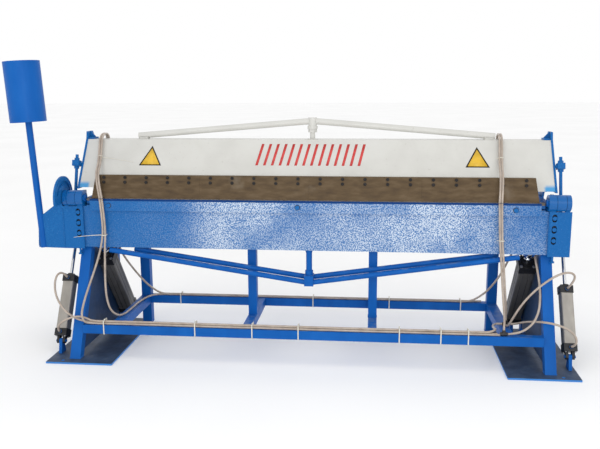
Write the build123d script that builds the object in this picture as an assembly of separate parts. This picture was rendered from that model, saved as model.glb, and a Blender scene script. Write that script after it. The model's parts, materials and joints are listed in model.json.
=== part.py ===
from build123d import *
import math
import os

# Pneumatic sheet metal folding brake, 2.5 m working length.
# X runs along the bed, +Y points to the rear, Z is up.  The origin lies on the
# floor, at mid length and at the middle of the foot plates' depth.

# ---- overall sizes ---------------------------------------------------------
WORK_LENGTH = 2500.0
BOLT_PITCH = 125.0
BLADE_SEGMENTS = 4
BED_TOP = 895.0
SHEET_GAP = 2.0
LEG_INNER = 1283.0
LEG_WIDTH = 60.0
LEG_OUTER = LEG_INNER + LEG_WIDTH
TUBE = 50.0
WALL = 4.0

# ---- foot plates -----------------------------------------------------------
FOOT_INNER = 1079.0
FOOT_OUTER = 1460.0
FOOT_DEPTH = 800.0
FOOT_THICK = 10.0
ANCHOR_X = 1372.0
ANCHOR_Y = 370.0
ANCHOR_HOLE = 18.0

# ---- end frames ------------------------------------------------------------
LEG_FOOT_Y = -344.0
LEG_SLOPE = 0.451
HEAD_BOTTOM = 800.0
HEAD_TOP = 880.0
HEAD_FRONT = -50.0
REAR_LEG_FRONT = 324.0
REAR_LEG_BACK = REAR_LEG_FRONT + TUBE
RAIL_BOTTOM = 143.0
RAIL_TOP = RAIL_BOTTOM + TUBE
FRONT_RAIL_FRONT = -285.0
INNER_LEG = 1070.0
LEFT_POST_X = -343.0
RIGHT_POST_X = 364.0
POST_FRONT = -9.0

# ---- bed -------------------------------------------------------------------
BED_FRONT = -60.0
BED_BACK = 110.0
BED_BOTTOM = 765.0
JAW_FRONT = -99.0
JAW_BOTTOM = 865.0
JAW_HALF = 1288.0

# ---- folding leaf ----------------------------------------------------------
FOLD_Y = -101.0
FOLD_Z = 897.0
BAR_FRONT = -114.0
BAR_THICK = 12.0
BAR_TOP = 894.0
BAR_HEIGHT = 69.0
BAR_HALF = 1266.0
LEAF_FRONT = BAR_FRONT + BAR_THICK
LEAF_THICK = 12.0
LEAF_BACK = LEAF_FRONT + LEAF_THICK
LEAF_TOP = 856.0
LEAF_BOTTOM = 609.0
LEAF_HALF = 1380.0
END_INNER = 1311.0
END_OUTER = 1429.0
END_TOP = 850.0
END_BOTTOM = 601.0
END_BOLT_X = 1339.0
END_BOLT_Z = (691.0, 753.0, 815.0)
BAR_BOLT_X = (-1154.0, -63.0, 1132.0)
BAR_BOLT_Z = 857.0

# ---- fold hinge ------------------------------------------------------------
KNUCKLE_D = 90.0
HINGE_PIN_D = 40.0
HINGE_PIN_INNER = 1292.0
HINGE_PIN_OUTER = 1422.0
PIN_PLAY = 0.05
KNUCKLES = ((1300.0, 1341.0), (1393.0, 1417.0))
FIXED_KNUCKLE = (1343.0, 1391.0)

# ---- counterweight ---------------------------------------------------------
WEIGHT_D = 200.0
WEIGHT_HEIGHT = 338.0
WEIGHT_BOTTOM = 1332.0
WEIGHT_X = -1608.0
WEIGHT_LEAN = 3.0
ROD_D = 37.0
DISC_OUTER = -1433.0
DISC_INNER = -1421.0
DISC_D = 250.0

# ---- leaf truss ------------------------------------------------------------
LEAF_PIPE_D = 30.0
LEAF_PIPE_X = 1165.0
REAR_PIPE_X = 1029.0
LEAF_APEX_Z = 421.0
REAR_PIPE_RISE = 22.0
SADDLE_HALF = 26.0

# ---- clamp beam ------------------------------------------------------------
BEAM_HALF = 1350.0
SKIN_LOW = (-43.0, 951.0)
SKIN_HIGH = (132.0, 1218.0)
BEAM_BACK = 240.0
BEAM_WALL = 8.0
NOSE_TOP = 1025.0
BLADE_TIP = (-100.0, BED_TOP + SHEET_GAP)
BLADE_TOP = (-67.0, 1028.0)
BLADE_THICK = 14.0
BLADE_TOP_HALF = 1238.0
BLADE_TIP_HALF = 1257.0
ROW_Z = (987.0, 1013.6)
BLADE_SCREW_D = 18.0
ARM_INNER = 1350.0
ARM_THICK = 12.0
CLAMP_PIVOT = (326.0, 842.0)
TRUSS_TUBE_D = 37.0
TRUSS_END_X = 1048.0
TRUSS_Y = 172.0
TRUSS_APEX_Z = 1325.0

# ---- clamp linkage ---------------------------------------------------------
ROCKER_SHAFT = (20.0, 760.0)
TIE_LOW = (-55.0, 760.0)
TIE_HIGH = (30.0, 1083.0)
TIE_X = 1388.0
TIE_D = 18.0
CLAMP_FOOT = (-240.0, 78.0)
CLAMP_EYE = (105.7, 713.5)
CLAMP_CYL_X = 1432.0
CLAMP_BODY = 389.0

# ---- leaf cylinders --------------------------------------------------------
LEAF_CYL_X = 1232.0
LEAF_FOOT = (365.0, 80.0)
LEAF_EYE = (-30.0, 600.0)
LEAF_BODY = 574.0

# ---- pneumatic cylinders, by bore ------------------------------------------
CLAMP_BORE = {"bore": 50.0, "body": 66.0, "cap": 70.0, "cap_length": 42.0, "rod": 20.0, "piston": 160.0}
LEAF_BORE = {"bore": 80.0, "body": 88.0, "cap": 94.0, "cap_length": 46.0, "rod": 25.0, "piston": 75.0}
PORT_SPREAD = 18.0
CAP_BASE = 26.0
PISTON_LENGTH = 14.0
CYL_PIN_D = 16.0
EYE_RADIUS = 18.0
EYE_WIDTH = 20.0
LUG_THICK = 18.0

# ---- air hoses -------------------------------------------------------------
HOSE_D = 12.0
HOSE_PITCH = 13.0
RAIL_HOSE_Z = RAIL_TOP + HOSE_D / 2 + 0.5
FRONT_HOSE_Y = -270.0
REAR_HOSE_Y = 338.0
FRONT_TIES = (-1157.0, -628.0, -303.0, -44.0, 512.0, 736.0, 883.0)
REAR_TIES = (-872.0, -12.0, 469.0, 911.0)
RAIL_TEE = (1072.0, -264.0, 204.0)
CROSS_TEE = (1112.0, -92.0, 204.0)


# ---- small helpers ---------------------------------------------------------
def block(x0, x1, y0, y1, z0, z1):
    """Box between two corners."""
    middle = Pos((x0 + x1) / 2, (y0 + y1) / 2, (z0 + z1) / 2)
    return middle * Box(abs(x1 - x0), abs(y1 - y0), abs(z1 - z0))


def plate_yz(points, x0, x1):
    """Plate whose outline is drawn in Y and Z, from x0 to x1."""
    low = min(x0, x1)
    face = Plane(origin=(low, 0, 0), x_dir=(0, 1, 0), z_dir=(1, 0, 0))
    return extrude(face * Polygon(*points, align=None), abs(x1 - x0), dir=(1, 0, 0))


def plate_xz(points, y0, y1):
    """Plate whose outline is drawn in X and Z, from y0 to y1."""
    face = Plane(origin=(0, y0, 0), x_dir=(1, 0, 0), z_dir=(0, -1, 0))
    return extrude(face * Polygon(*points, align=None), y1 - y0, dir=(0, 1, 0))


def bar_x(y, z, x0, x1, diameter):
    """Round bar along X."""
    length = abs(x1 - x0)
    return Pos((x0 + x1) / 2, y, z) * Rot(0, 90, 0) * Cylinder(diameter / 2, length)


def bar_y(x, z, y0, y1, diameter):
    """Round bar along Y."""
    return Pos(x, (y0 + y1) / 2, z) * Rot(90, 0, 0) * Cylinder(diameter / 2, abs(y1 - y0))


def bar_z(x, y, z0, z1, diameter):
    """Round bar along Z."""
    return Pos(x, y, (z0 + z1) / 2) * Cylinder(diameter / 2, abs(z1 - z0))


def along(start, end):
    """Plane at start whose normal points to end and whose x is square to it."""
    return Plane(origin=start, x_dir=(1, 0, 0), z_dir=Vector(*end) - Vector(*start))


def round_bar(start, end, diameter):
    """Round bar between two points of one X, or of one Y."""
    axis = Vector(*end) - Vector(*start)
    return extrude(Plane(origin=start, z_dir=axis) * Circle(diameter / 2), axis.length, dir=axis)


def pipe(start, end, diameter, wall):
    return round_bar(start, end, diameter) - round_bar(start, end, diameter - 2 * wall)


def square_tube(x0, x1, y0, y1, z0, z1, run):
    """Square tube, open at both ends, along X, Y or Z."""
    grow = {"x": (1, 0, 0), "y": (0, 1, 0), "z": (0, 0, 1)}[run]
    inset = [WALL * (1 - g) - g for g in grow]
    in_x, in_y, in_z = inset
    hollow = block(x0 + in_x, x1 - in_x, y0 + in_y, y1 - in_y, z0 + in_z, z1 - in_z)
    return block(x0, x1, y0, y1, z0, z1) - hollow


def mirrored(shape):
    return mirror(shape, about=Plane.YZ)


def both(shape):
    """The right-hand solid and its left-hand twin."""
    return Compound([*shape.solids(), *mirrored(shape).solids()])


def group(shapes):
    return Compound([solid for shape in shapes for solid in shape.solids()])


def hexagon_y(x, z, y0, y1, flats):
    """Hexagon head along Y."""
    face = Plane(origin=(x, y0, z), x_dir=(1, 0, 0), z_dir=(0, -1, 0))
    return extrude(face * RegularPolygon(flats / math.sqrt(3), 6), y1 - y0, dir=(0, 1, 0))


# ---- floor frame -----------------------------------------------------------
def foot_plate():
    plate = block(FOOT_INNER, FOOT_OUTER, -FOOT_DEPTH / 2, FOOT_DEPTH / 2, 0, FOOT_THICK)
    for y in (-ANCHOR_Y, ANCHOR_Y):
        plate -= bar_z(ANCHOR_X, y, -1, FOOT_THICK + 1, ANCHOR_HOLE)
    return plate


def leg_face(z):
    """Y of the slanted leg's front face at height z."""
    return LEG_FOOT_Y + LEG_SLOPE * (z - FOOT_THICK)


def slanted(depth0, depth1, z0, z1, x0, x1):
    corners = ((depth0, z0), (depth1, z0), (depth1, z1), (depth0, z1))
    return plate_yz([(leg_face(z) + depth, z) for depth, z in corners], x0, x1)


def leg_depth():
    """Horizontal depth of the slanted tube."""
    return TUBE / math.cos(math.atan(LEG_SLOPE))


def front_leg():
    depth = leg_depth()
    outer = slanted(0, depth, FOOT_THICK, HEAD_BOTTOM, LEG_INNER, LEG_OUTER)
    hollow = slanted(WALL, depth - WALL, FOOT_THICK - 1, HEAD_BOTTOM + 1, LEG_INNER + WALL, LEG_OUTER - WALL)
    shaft = bar_x(*ROCKER_SHAFT, LEG_INNER - 1, LEG_OUTER + 1, 24 + 2 * PIN_PLAY)
    return outer - hollow - shaft


def rear_legs():
    """Four upright legs: one at the back of each end frame and one further in."""
    legs = []
    for x0 in (LEG_INNER, INNER_LEG):
        leg = square_tube(x0, x0 + LEG_WIDTH, REAR_LEG_FRONT, REAR_LEG_BACK, FOOT_THICK, HEAD_BOTTOM, "z")
        legs.append(both(leg))
    return group(legs)


def side_panels():
    depth = leg_depth()
    low, high = RAIL_BOTTOM - 100, HEAD_BOTTOM
    corners = (
        (leg_face(low) + depth, low),
        (REAR_LEG_FRONT, low),
        (REAR_LEG_FRONT, high),
        (leg_face(high) + depth, high),
    )
    return both(plate_yz(corners, LEG_INNER + 5, LEG_INNER + 9))


def head_rail():
    rail = square_tube(LEG_INNER, LEG_OUTER, HEAD_FRONT, REAR_LEG_BACK, HEAD_BOTTOM, HEAD_TOP, "y")
    caps = block(LEG_INNER + WALL, LEG_OUTER - WALL, HEAD_FRONT, HEAD_FRONT + WALL,
                 HEAD_BOTTOM + WALL, HEAD_TOP - WALL)
    pivot = bar_x(*CLAMP_PIVOT, LEG_INNER - 1, LEG_OUTER + 1, HINGE_PIN_D + 2 * PIN_PLAY)
    return rail + caps - pivot


def front_rail():
    return square_tube(-LEG_INNER, LEG_INNER, FRONT_RAIL_FRONT, FRONT_RAIL_FRONT + TUBE,
                       RAIL_BOTTOM, RAIL_TOP, "x")


def rear_rail():
    return square_tube(-INNER_LEG, INNER_LEG, REAR_LEG_FRONT, REAR_LEG_BACK, RAIL_BOTTOM, RAIL_TOP, "x")


def rear_top_rail():
    return square_tube(-LEG_INNER, LEG_INNER, REAR_LEG_FRONT, REAR_LEG_BACK,
                       HEAD_BOTTOM, HEAD_BOTTOM + TUBE, "x")


def cross_rails():
    front = FRONT_RAIL_FRONT + TUBE
    end = square_tube(INNER_LEG, INNER_LEG + LEG_WIDTH, front, REAR_LEG_FRONT,
                      RAIL_BOTTOM, RAIL_TOP, "y")
    middle = []
    for x in (LEFT_POST_X, RIGHT_POST_X):
        middle.append(square_tube(x - TUBE / 2, x + TUBE / 2, front, REAR_LEG_FRONT,
                                  RAIL_BOTTOM, RAIL_TOP, "y"))
    return group([both(end), *middle])


def bed_posts():
    posts = []
    for x in (LEFT_POST_X, RIGHT_POST_X):
        posts.append(square_tube(x - TUBE / 2, x + TUBE / 2, POST_FRONT, POST_FRONT + TUBE,
                                 RAIL_TOP, BED_BOTTOM, "z"))
    return group(posts)


# ---- bed -------------------------------------------------------------------
def bed_beam():
    outer = block(-LEG_INNER, LEG_INNER, BED_FRONT, BED_BACK, BED_BOTTOM, BED_TOP)
    hollow = block(-LEG_INNER - 1, LEG_INNER + 1, BED_FRONT + 8, BED_BACK - 8, BED_BOTTOM + 8, BED_TOP - 12)
    return outer - hollow


def bed_jaw():
    return block(-JAW_HALF, JAW_HALF, JAW_FRONT, BED_FRONT, JAW_BOTTOM, BED_TOP)


# ---- fold hinge ------------------------------------------------------------
def hinge_bracket():
    """Fixed middle knuckle with a strap back to the outer face of the head rail."""
    x0, x1 = FIXED_KNUCKLE
    strap = block(x0, x0 + 18, FOLD_Y, 40, 838, 925)
    strap -= block(x0 - 1, x0 + 19, FOLD_Y - 1, -55, 824, 868)
    bore = bar_x(FOLD_Y, FOLD_Z, x0 - 1, x1 + 1, HINGE_PIN_D + 2 * PIN_PLAY)
    ring = bar_x(FOLD_Y, FOLD_Z, x0, x1, KNUCKLE_D)
    return ring + strap - bore


def pivot_pins():
    hinge = bar_x(FOLD_Y, FOLD_Z, HINGE_PIN_INNER, HINGE_PIN_OUTER, HINGE_PIN_D)
    clamp = bar_x(*CLAMP_PIVOT, LEG_INNER, 1374, HINGE_PIN_D)
    rocker = bar_x(*ROCKER_SHAFT, LEG_INNER, 1424, 24)
    return group([both(hinge), both(clamp), both(rocker)])


# ---- folding leaf ----------------------------------------------------------
def leaf_plate():
    skin = block(-LEAF_HALF, LEAF_HALF, LEAF_FRONT, LEAF_BACK, LEAF_BOTTOM, LEAF_TOP)
    for side in (-1, 1):
        skin -= block(side * (JAW_HALF + 2), side * (LEAF_HALF + 1), LEAF_FRONT - 1, LEAF_BACK + 1,
                      END_TOP, LEAF_TOP + 1)
    flange_half = LEAF_PIPE_X + 20
    flange = block(-flange_half, flange_half, LEAF_BACK, LEAF_BACK + 46, LEAF_BOTTOM, LEAF_BOTTOM + 10)
    return skin + flange


def bending_bar():
    bottom = BAR_TOP - BAR_HEIGHT
    profile = (
        (BAR_FRONT, bottom),
        (LEAF_FRONT, bottom),
        (LEAF_FRONT, BAR_TOP),
        (BAR_FRONT + 2, BAR_TOP),
        (BAR_FRONT, BAR_TOP - 2),
    )
    return plate_yz(profile, -BAR_HALF, BAR_HALF)


def end_slots():
    """Upright slots that let the end plates be set in height."""
    slots = [
        bar_y(END_BOLT_X, z + rise, BAR_FRONT - 1, LEAF_FRONT + 1, 26)
        for z in END_BOLT_Z for rise in (-9, 9)
    ]
    necks = [
        block(END_BOLT_X - 13, END_BOLT_X + 13, BAR_FRONT - 1, LEAF_FRONT + 1, z - 9, z + 9)
        for z in END_BOLT_Z
    ]
    return slots + necks


def leaf_end_right():
    plate = block(END_INNER, END_OUTER, BAR_FRONT, LEAF_FRONT, END_BOTTOM, END_TOP)
    for x0, x1 in KNUCKLES:
        inner = max(x0, END_INNER)
        plate += block(inner, x1, BAR_FRONT, LEAF_FRONT, END_TOP, FOLD_Z)
    plate += block(KNUCKLES[0][0], END_INNER, BAR_FRONT, LEAF_FRONT, END_TOP + 8, FOLD_Z)
    for x0, x1 in KNUCKLES:
        plate += bar_x(FOLD_Y, FOLD_Z, x0, x1, KNUCKLE_D)
    plate -= bar_x(FOLD_Y, FOLD_Z, END_INNER - 20, END_OUTER + 1, HINGE_PIN_D + 2 * PIN_PLAY)
    for slot in end_slots():
        plate -= slot
    return plate


def leaf_end_left():
    """Left end plate, widened into the arm that carries the counterweight rod."""
    plate = mirrored(leaf_end_right())
    arm = (
        (-1429, 601),
        (-1588, 604),
        (-1576, 700),
        (-1554, 798),
        (-1477, 855),
        (-1432, 862),
        (-1429, END_TOP),
    )
    return plate + plate_xz(arm, BAR_FRONT, LEAF_FRONT)


def lean_point(z, y=BAR_FRONT + 6):
    """Point of the leaning counterweight axis at height z."""
    slope = math.tan(math.radians(WEIGHT_LEAN))
    return (WEIGHT_X - slope * (z - WEIGHT_BOTTOM - WEIGHT_HEIGHT / 2), y, z)


def counterweight_rod():
    low = lean_point(604)
    rod = round_bar(low, lean_point(WEIGHT_BOTTOM), ROD_D)
    return rod - leaf_end_left()


def counterweight():
    """Closed can, solid at the bottom where the rod enters."""
    top = WEIGHT_BOTTOM + WEIGHT_HEIGHT
    can = round_bar(lean_point(WEIGHT_BOTTOM), lean_point(top), WEIGHT_D)
    inside = round_bar(lean_point(WEIGHT_BOTTOM + 60), lean_point(top - 8), WEIGHT_D - 12)
    return can - inside


def angle_disc():
    """Stop disc with a curved groove in its inner face, on the left outer knuckle."""
    x0, x1 = DISC_OUTER, DISC_INNER
    below = FOLD_Z - DISC_D
    disc = bar_x(FOLD_Y, FOLD_Z, x0, x1, DISC_D)
    groove = bar_x(FOLD_Y, FOLD_Z, x1 - 6, x1 + 1, 194) - bar_x(FOLD_Y, FOLD_Z, x1 - 7, x1 + 2, 158)
    groove -= block(x1 - 8, x1 + 3, FOLD_Y - DISC_D, FOLD_Y + DISC_D, below, FOLD_Z + 20)
    disc -= groove
    disc -= block(x0 - 1, x1 + 1, FOLD_Y - DISC_D, LEAF_FRONT + 0.5, below, 866)
    hub = bar_x(FOLD_Y, FOLD_Z, x1, -KNUCKLES[1][1], 70)
    return disc + hub - bar_x(FOLD_Y, FOLD_Z, x0 - 1, -KNUCKLES[1][1], HINGE_PIN_D + 6)


def leaf_truss():
    """Two bent pipes, one behind the other, that keep the leaf straight."""
    pipes = []
    for y, rise, end_x in ((LEAF_FRONT + 4, 0, LEAF_PIPE_X), (LEAF_FRONT + 44, REAR_PIPE_RISE, REAR_PIPE_X)):
        apex = (SADDLE_HALF, y, LEAF_APEX_Z + 3 + rise)
        half = pipe(apex, (end_x, y, LEAF_BOTTOM - 17), LEAF_PIPE_D, 3)
        half -= block(0, SADDLE_HALF, y - 40, y + 40, LEAF_APEX_Z - 40, LEAF_APEX_Z + 60)
        pipes.append(half)
    return group([both(half) for half in pipes])


def leaf_strut():
    """Centre strut, its saddle for the pipes and its collar."""
    y = LEAF_FRONT + 23
    saddle_top = LEAF_APEX_Z + REAR_PIPE_RISE + 20
    saddle = block(-SADDLE_HALF, SADDLE_HALF, y - 37, y + 37, LEAF_APEX_Z - 18, saddle_top)
    post = bar_z(0, y, saddle_top, LEAF_BOTTOM, 34)
    collar = bar_z(0, y, saddle_top, saddle_top + 26, 46)
    gusset = plate_xz(((-22, LEAF_BOTTOM), (22, LEAF_BOTTOM), (17, 592), (-17, 592)), y - 6, y + 6)
    return saddle + post + collar + gusset


def bar_bolts():
    """Round-headed bolts of the bending bar and hexagon bolts of the end plates."""
    bolts = []
    for x in BAR_BOLT_X:
        bolts.append(bar_y(x, BAR_BOLT_Z, BAR_FRONT - 7, BAR_FRONT, 25))
    for x in (-END_BOLT_X, END_BOLT_X):
        for z in END_BOLT_Z:
            bolts.append(hexagon_y(x, z, BAR_FRONT - 4, LEAF_FRONT, 21))
        shank = bar_z(x, BAR_FRONT + 4, END_BOTTOM - 26, END_BOTTOM, 12)
        bolts.append(shank + bar_z(x, BAR_FRONT + 4, END_BOTTOM - 34, END_BOTTOM - 26, 24))
    return group(bolts)


def leaf_lugs():
    """Pairs of cheeks behind the leaf for the eyes of the leaf cylinders."""
    y, z = LEAF_EYE
    outline = (
        (LEAF_BACK, LEAF_BOTTOM + 3),
        (LEAF_BACK, LEAF_BOTTOM + 81),
        (y + 12, z + 17),
        (y + 18, z + 4),
        (y + 12, z - 14),
        (y - 6, z - 18),
        (y - 20, z - 10),
    )
    cheeks = []
    for side in (-1, 1):
        inner = LEAF_CYL_X + side * (EYE_WIDTH / 2 + 4)
        cheeks.append(plate_yz(outline, inner, inner + side * 10))
    return both(group(cheeks))


# ---- clamp beam ------------------------------------------------------------
def skin_y(z):
    """Y of the front skin at height z."""
    (y0, z0), (y1, z1) = SKIN_LOW, SKIN_HIGH
    return y0 + (y1 - y0) * (z - z0) / (z1 - z0)


def clamp_beam():
    """Welded box: sloping front skin, top, back and bottom plates."""
    outer = (SKIN_LOW, SKIN_HIGH, (BEAM_BACK, SKIN_HIGH[1]), (BEAM_BACK, 1010))
    run = math.hypot(SKIN_HIGH[0] - SKIN_LOW[0], SKIN_HIGH[1] - SKIN_LOW[1])
    slant = BEAM_WALL * run / (SKIN_HIGH[1] - SKIN_LOW[1])
    top = SKIN_HIGH[1] - BEAM_WALL
    low = SKIN_LOW[1] + 22
    hollow = (
        (skin_y(low) + slant, low),
        (skin_y(top) + slant, top),
        (BEAM_BACK - BEAM_WALL, top),
        (BEAM_BACK - BEAM_WALL, 1018),
    )
    box = plate_yz(outer, -BEAM_HALF, BEAM_HALF)
    return box - plate_yz(hollow, -BEAM_HALF - 1, BEAM_HALF + 1)


def blade_direction():
    run = Vector(0, BLADE_TOP[0] - BLADE_TIP[0], BLADE_TOP[1] - BLADE_TIP[1])
    return run.normalized()


def blade_back(z):
    """Y of the blade's rear face at height z."""
    up = blade_direction()
    return BLADE_TIP[0] + (z - BLADE_TIP[1]) * up.Y / up.Z + BLADE_THICK / up.Z


def nose_bar():
    """Solid bar between the beam's skin and the blades."""
    low = 930.0
    profile = (
        (blade_back(low), low),
        (blade_back(NOSE_TOP), NOSE_TOP),
        (skin_y(NOSE_TOP), NOSE_TOP),
        SKIN_LOW,
        (SKIN_LOW[0] - 6, low),
    )
    return plate_yz(profile, -BLADE_TOP_HALF, BLADE_TOP_HALF)


def blade(number):
    """One quarter of the clamping blade; the outer ends splay towards the tip."""
    up = blade_direction()
    heel = BLADE_THICK / up.Z
    tip_z, top_z = BLADE_TIP[1], BLADE_TOP[1]
    profile = (
        (BLADE_TIP[0], tip_z),
        (BLADE_TIP[0] + 5, tip_z),
        (blade_back(tip_z + 12), tip_z + 12),
        (blade_back(top_z), top_z),
        (BLADE_TOP[0], top_z),
    )
    quarter = WORK_LENGTH / BLADE_SEGMENTS
    seam = 0.25
    x0 = -WORK_LENGTH / 2 + quarter * number + seam
    x1 = x0 + quarter - 2 * seam
    if number == 0:
        x0 = -BLADE_TIP_HALF
    if number == BLADE_SEGMENTS - 1:
        x1 = BLADE_TIP_HALF
    piece = plate_yz(profile, x0, x1)
    outline = (
        (-BLADE_TIP_HALF, tip_z),
        (BLADE_TIP_HALF, tip_z),
        (BLADE_TOP_HALF, top_z),
        (-BLADE_TOP_HALF, top_z),
    )
    return piece & plate_xz(outline, BLADE_TIP[0] - heel, 40)


def blade_bolts():
    """Two rows of socket screws through the blades."""
    up = blade_direction()
    outward = Vector(0, -up.Z, up.Y)
    screws = []
    count = int(WORK_LENGTH / BOLT_PITCH)
    for index in range(count):
        x = (index - (count - 1) / 2) * BOLT_PITCH
        for z in ROW_Z:
            y = BLADE_TIP[0] + (z - BLADE_TIP[1]) * up.Y / up.Z
            seat = Vector(x, y, z)
            screws.append(round_bar(seat, seat + outward * 5, BLADE_SCREW_D))
    return group(screws)


def top_truss():
    """Two tubes that rise from the beam ends to the centre strut."""
    end_z = SKIN_HIGH[1] + TRUSS_TUBE_D / 2 + 1
    half = pipe((20, TRUSS_Y, TRUSS_APEX_Z - 2), (TRUSS_END_X, TRUSS_Y, end_z), TRUSS_TUBE_D, 3)
    half -= bar_z(0, TRUSS_Y, 1200, 1400, 50)
    top = SKIN_HIGH[1]
    foot = block(TRUSS_END_X - 60, TRUSS_END_X - 4, TRUSS_Y - 22, TRUSS_Y + 22, top, top + 8)
    return both((half + foot) - block(900, 1100, 100, 240, top - 30, top))


def top_strut():
    """Threaded centre strut with collar and lock nut."""
    head = bar_z(0, TRUSS_Y, TRUSS_APEX_Z - 30, TRUSS_APEX_Z + 20, 50)
    collar = bar_z(0, TRUSS_Y, TRUSS_APEX_Z - 46, TRUSS_APEX_Z - 30, 60)
    screw = bar_z(0, TRUSS_Y, SKIN_HIGH[1], TRUSS_APEX_Z - 46, 30)
    nut = extrude(Pos(0, TRUSS_Y, TRUSS_APEX_Z - 66) * RegularPolygon(26, 6), 20)
    return head + collar + screw + nut


def clamp_arm():
    """Side plate of the clamp beam, from the nose back to the rear pivot."""
    outline = (
        (-50, 944),
        (130, 1222),
        (140, 1264),
        (212, 1264),
        (262, 1190),
        (372, 890),
        (372, 842),
        (280, 842),
        (250, 905),
        (60, 944),
    )
    plate = plate_yz(outline, ARM_INNER, ARM_INNER + ARM_THICK)
    plate += bar_x(*CLAMP_PIVOT, ARM_INNER, ARM_INNER + ARM_THICK, 92)
    plate += bar_x(*CLAMP_PIVOT, LEG_OUTER + 1, ARM_INNER, 64)
    plate -= bar_x(*CLAMP_PIVOT, LEG_OUTER - 1, ARM_INNER + ARM_THICK + 1, HINGE_PIN_D + 2 * PIN_PLAY)
    gusset = block(ARM_INNER - 34, ARM_INNER, 140, 212, SKIN_HIGH[1], SKIN_HIGH[1] + 10)
    gusset += plate_xz(((ARM_INNER - 34, 1228), (ARM_INNER, 1228), (ARM_INNER, 1264)), 172, 180)
    stud = bar_x(*TIE_HIGH, ARM_INNER + ARM_THICK, TIE_X + 20, 22)
    return plate + gusset + stud


# ---- clamp linkage ---------------------------------------------------------
def tie_rod():
    """Threaded rod with a swivel block and nuts above and an eye below."""
    x, top, low = TIE_X, TIE_HIGH, TIE_LOW
    lean = Vector(0, top[0] - low[0], top[1] - low[1]).normalized()
    pin = Vector(x, *top)
    eye = Vector(x, *low)
    frame = along(tuple(pin), tuple(pin + lean))
    block_body = frame * Box(40, 46, 34)
    block_body -= bar_x(*top, x - 30, x + 30, 22 + 2 * PIN_PLAY)
    stem = round_bar(tuple(eye + lean * 10), tuple(pin - lean * 17), TIE_D)
    stub = round_bar(tuple(pin + lean * 17), tuple(pin + lean * 52), TIE_D)
    for offset in (17, -31):
        seat = Plane(origin=pin + lean * offset, x_dir=(1, 0, 0), z_dir=lean)
        stub += seat * extrude(RegularPolygon(16, 6), 14)
    ring = bar_x(*low, x - 10, x + 10, 36)
    hole = bar_x(*low, x - 11, x + 11, 26)
    return block_body + stem + stub + (ring - hole) - hole


def lever(x0, x1, start, end, radius0, radius1):
    """Flat lever with round ends."""
    body = bar_x(*start, x0, x1, 2 * radius0) + bar_x(*end, x0, x1, 2 * radius1)
    axis = Vector(0, end[0] - start[0], end[1] - start[1]).normalized()
    side = Vector(0, -axis.Z, axis.Y)
    corners = []
    for point, reach in ((start, radius0), (end, radius1), (end, -radius1), (start, -radius0)):
        corners.append((point[0] + side.Y * reach, point[1] + side.Z * reach))
    return body + plate_yz(corners, x0, x1)


def clamp_rocker():
    """Rocker on the end frame: one lever for the tie rod, one for the cylinder."""
    hub = bar_x(*ROCKER_SHAFT, LEG_OUTER + 3, 1418, 44)
    tie_lever = lever(1352, 1372, ROCKER_SHAFT, TIE_LOW, 22, 17)
    cylinder_lever = lever(1404, 1418, ROCKER_SHAFT, CLAMP_EYE, 22, 17)
    pin = bar_x(*TIE_LOW, 1372, TIE_X + 9, 14)
    bore = bar_x(*ROCKER_SHAFT, LEG_OUTER, 1420, 24 + 2 * PIN_PLAY)
    return hub + tie_lever + cylinder_lever + pin - bore


# ---- pneumatic cylinders ---------------------------------------------------
def cylinder_axis(x, foot, eye):
    """Plane at the foot pin square to the cylinder, and the distance between pins."""
    start = Vector(x, *foot)
    end = Vector(x, *eye)
    return Plane(origin=start, x_dir=(1, 0, 0), z_dir=end - start), (end - start).length


def cylinder_body(x, foot, eye, length, sizes, fittings):
    """Profile barrel with two square caps, the rear clevis and push-in fittings.

    Each fitting is given by its distance across the cap, its side and its cap.
    """
    plane, _ = cylinder_axis(x, foot, eye)
    cap, cap_length, body = sizes["cap"], sizes["cap_length"], sizes["body"]
    barrel_low = CAP_BASE + cap_length
    barrel_high = length - cap_length
    local = Pos(0, 0, CAP_BASE + cap_length / 2) * Box(cap, cap, cap_length)
    local += extrude(Pos(0, 0, barrel_low) * RectangleRounded(body, body, 9), barrel_high - barrel_low)
    local += Pos(0, 0, length - cap_length / 2) * Box(cap, cap, cap_length)
    local += extrude(Pos(0, 0, length) * Circle(sizes["rod"]), 10)
    for side in (-1, 1):
        cheek_x = side * (LUG_THICK / 2 + 1 + 7)
        local += Pos(cheek_x, 0, 0) * Rot(0, 90, 0) * Cylinder(16, 14)
        local += Pos(cheek_x, 0, CAP_BASE / 2) * Box(14, 32, CAP_BASE)
    cap_middle = {"low": CAP_BASE + cap_length / 2, "high": length - cap_length / 2}
    for across, side, end in fittings:
        local += Pos(across, side * (cap / 2 + 6), cap_middle[end]) * Rot(90, 0, 0) * Cylinder(9, 12)
    local -= Rot(0, 90, 0) * Cylinder(CYL_PIN_D / 2 + PIN_PLAY, 80)
    local -= extrude(Pos(0, 0, barrel_low + 2) * Circle(sizes["bore"] / 2), barrel_high - barrel_low - 4)
    local -= extrude(Pos(0, 0, barrel_high - 5) * Circle(sizes["rod"] / 2 + PIN_PLAY), cap_length + 20)
    return plane * local


def cylinder_rod(x, foot, eye, sizes):
    """Piston, rod, lock nut and eye; the eye carries a short pin."""
    plane, reach = cylinder_axis(x, foot, eye)
    piston = sizes["piston"]
    local = extrude(Pos(0, 0, piston) * Circle(sizes["bore"] / 2 - PIN_PLAY), PISTON_LENGTH)
    local += extrude(Pos(0, 0, piston) * Circle(sizes["rod"] / 2), reach - 14 - piston)
    local += extrude(Pos(0, 0, reach - 46) * RegularPolygon(sizes["rod"] * 0.85, 6), 10)
    local += extrude(Pos(0, 0, reach - 36) * Circle(14), 26)
    local += Pos(0, 0, reach) * Rot(0, 90, 0) * Cylinder(EYE_RADIUS, EYE_WIDTH)
    local += Pos(0, 0, reach) * Rot(0, 90, 0) * Cylinder(CYL_PIN_D / 2, EYE_WIDTH + 6)
    return plane * local


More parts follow.
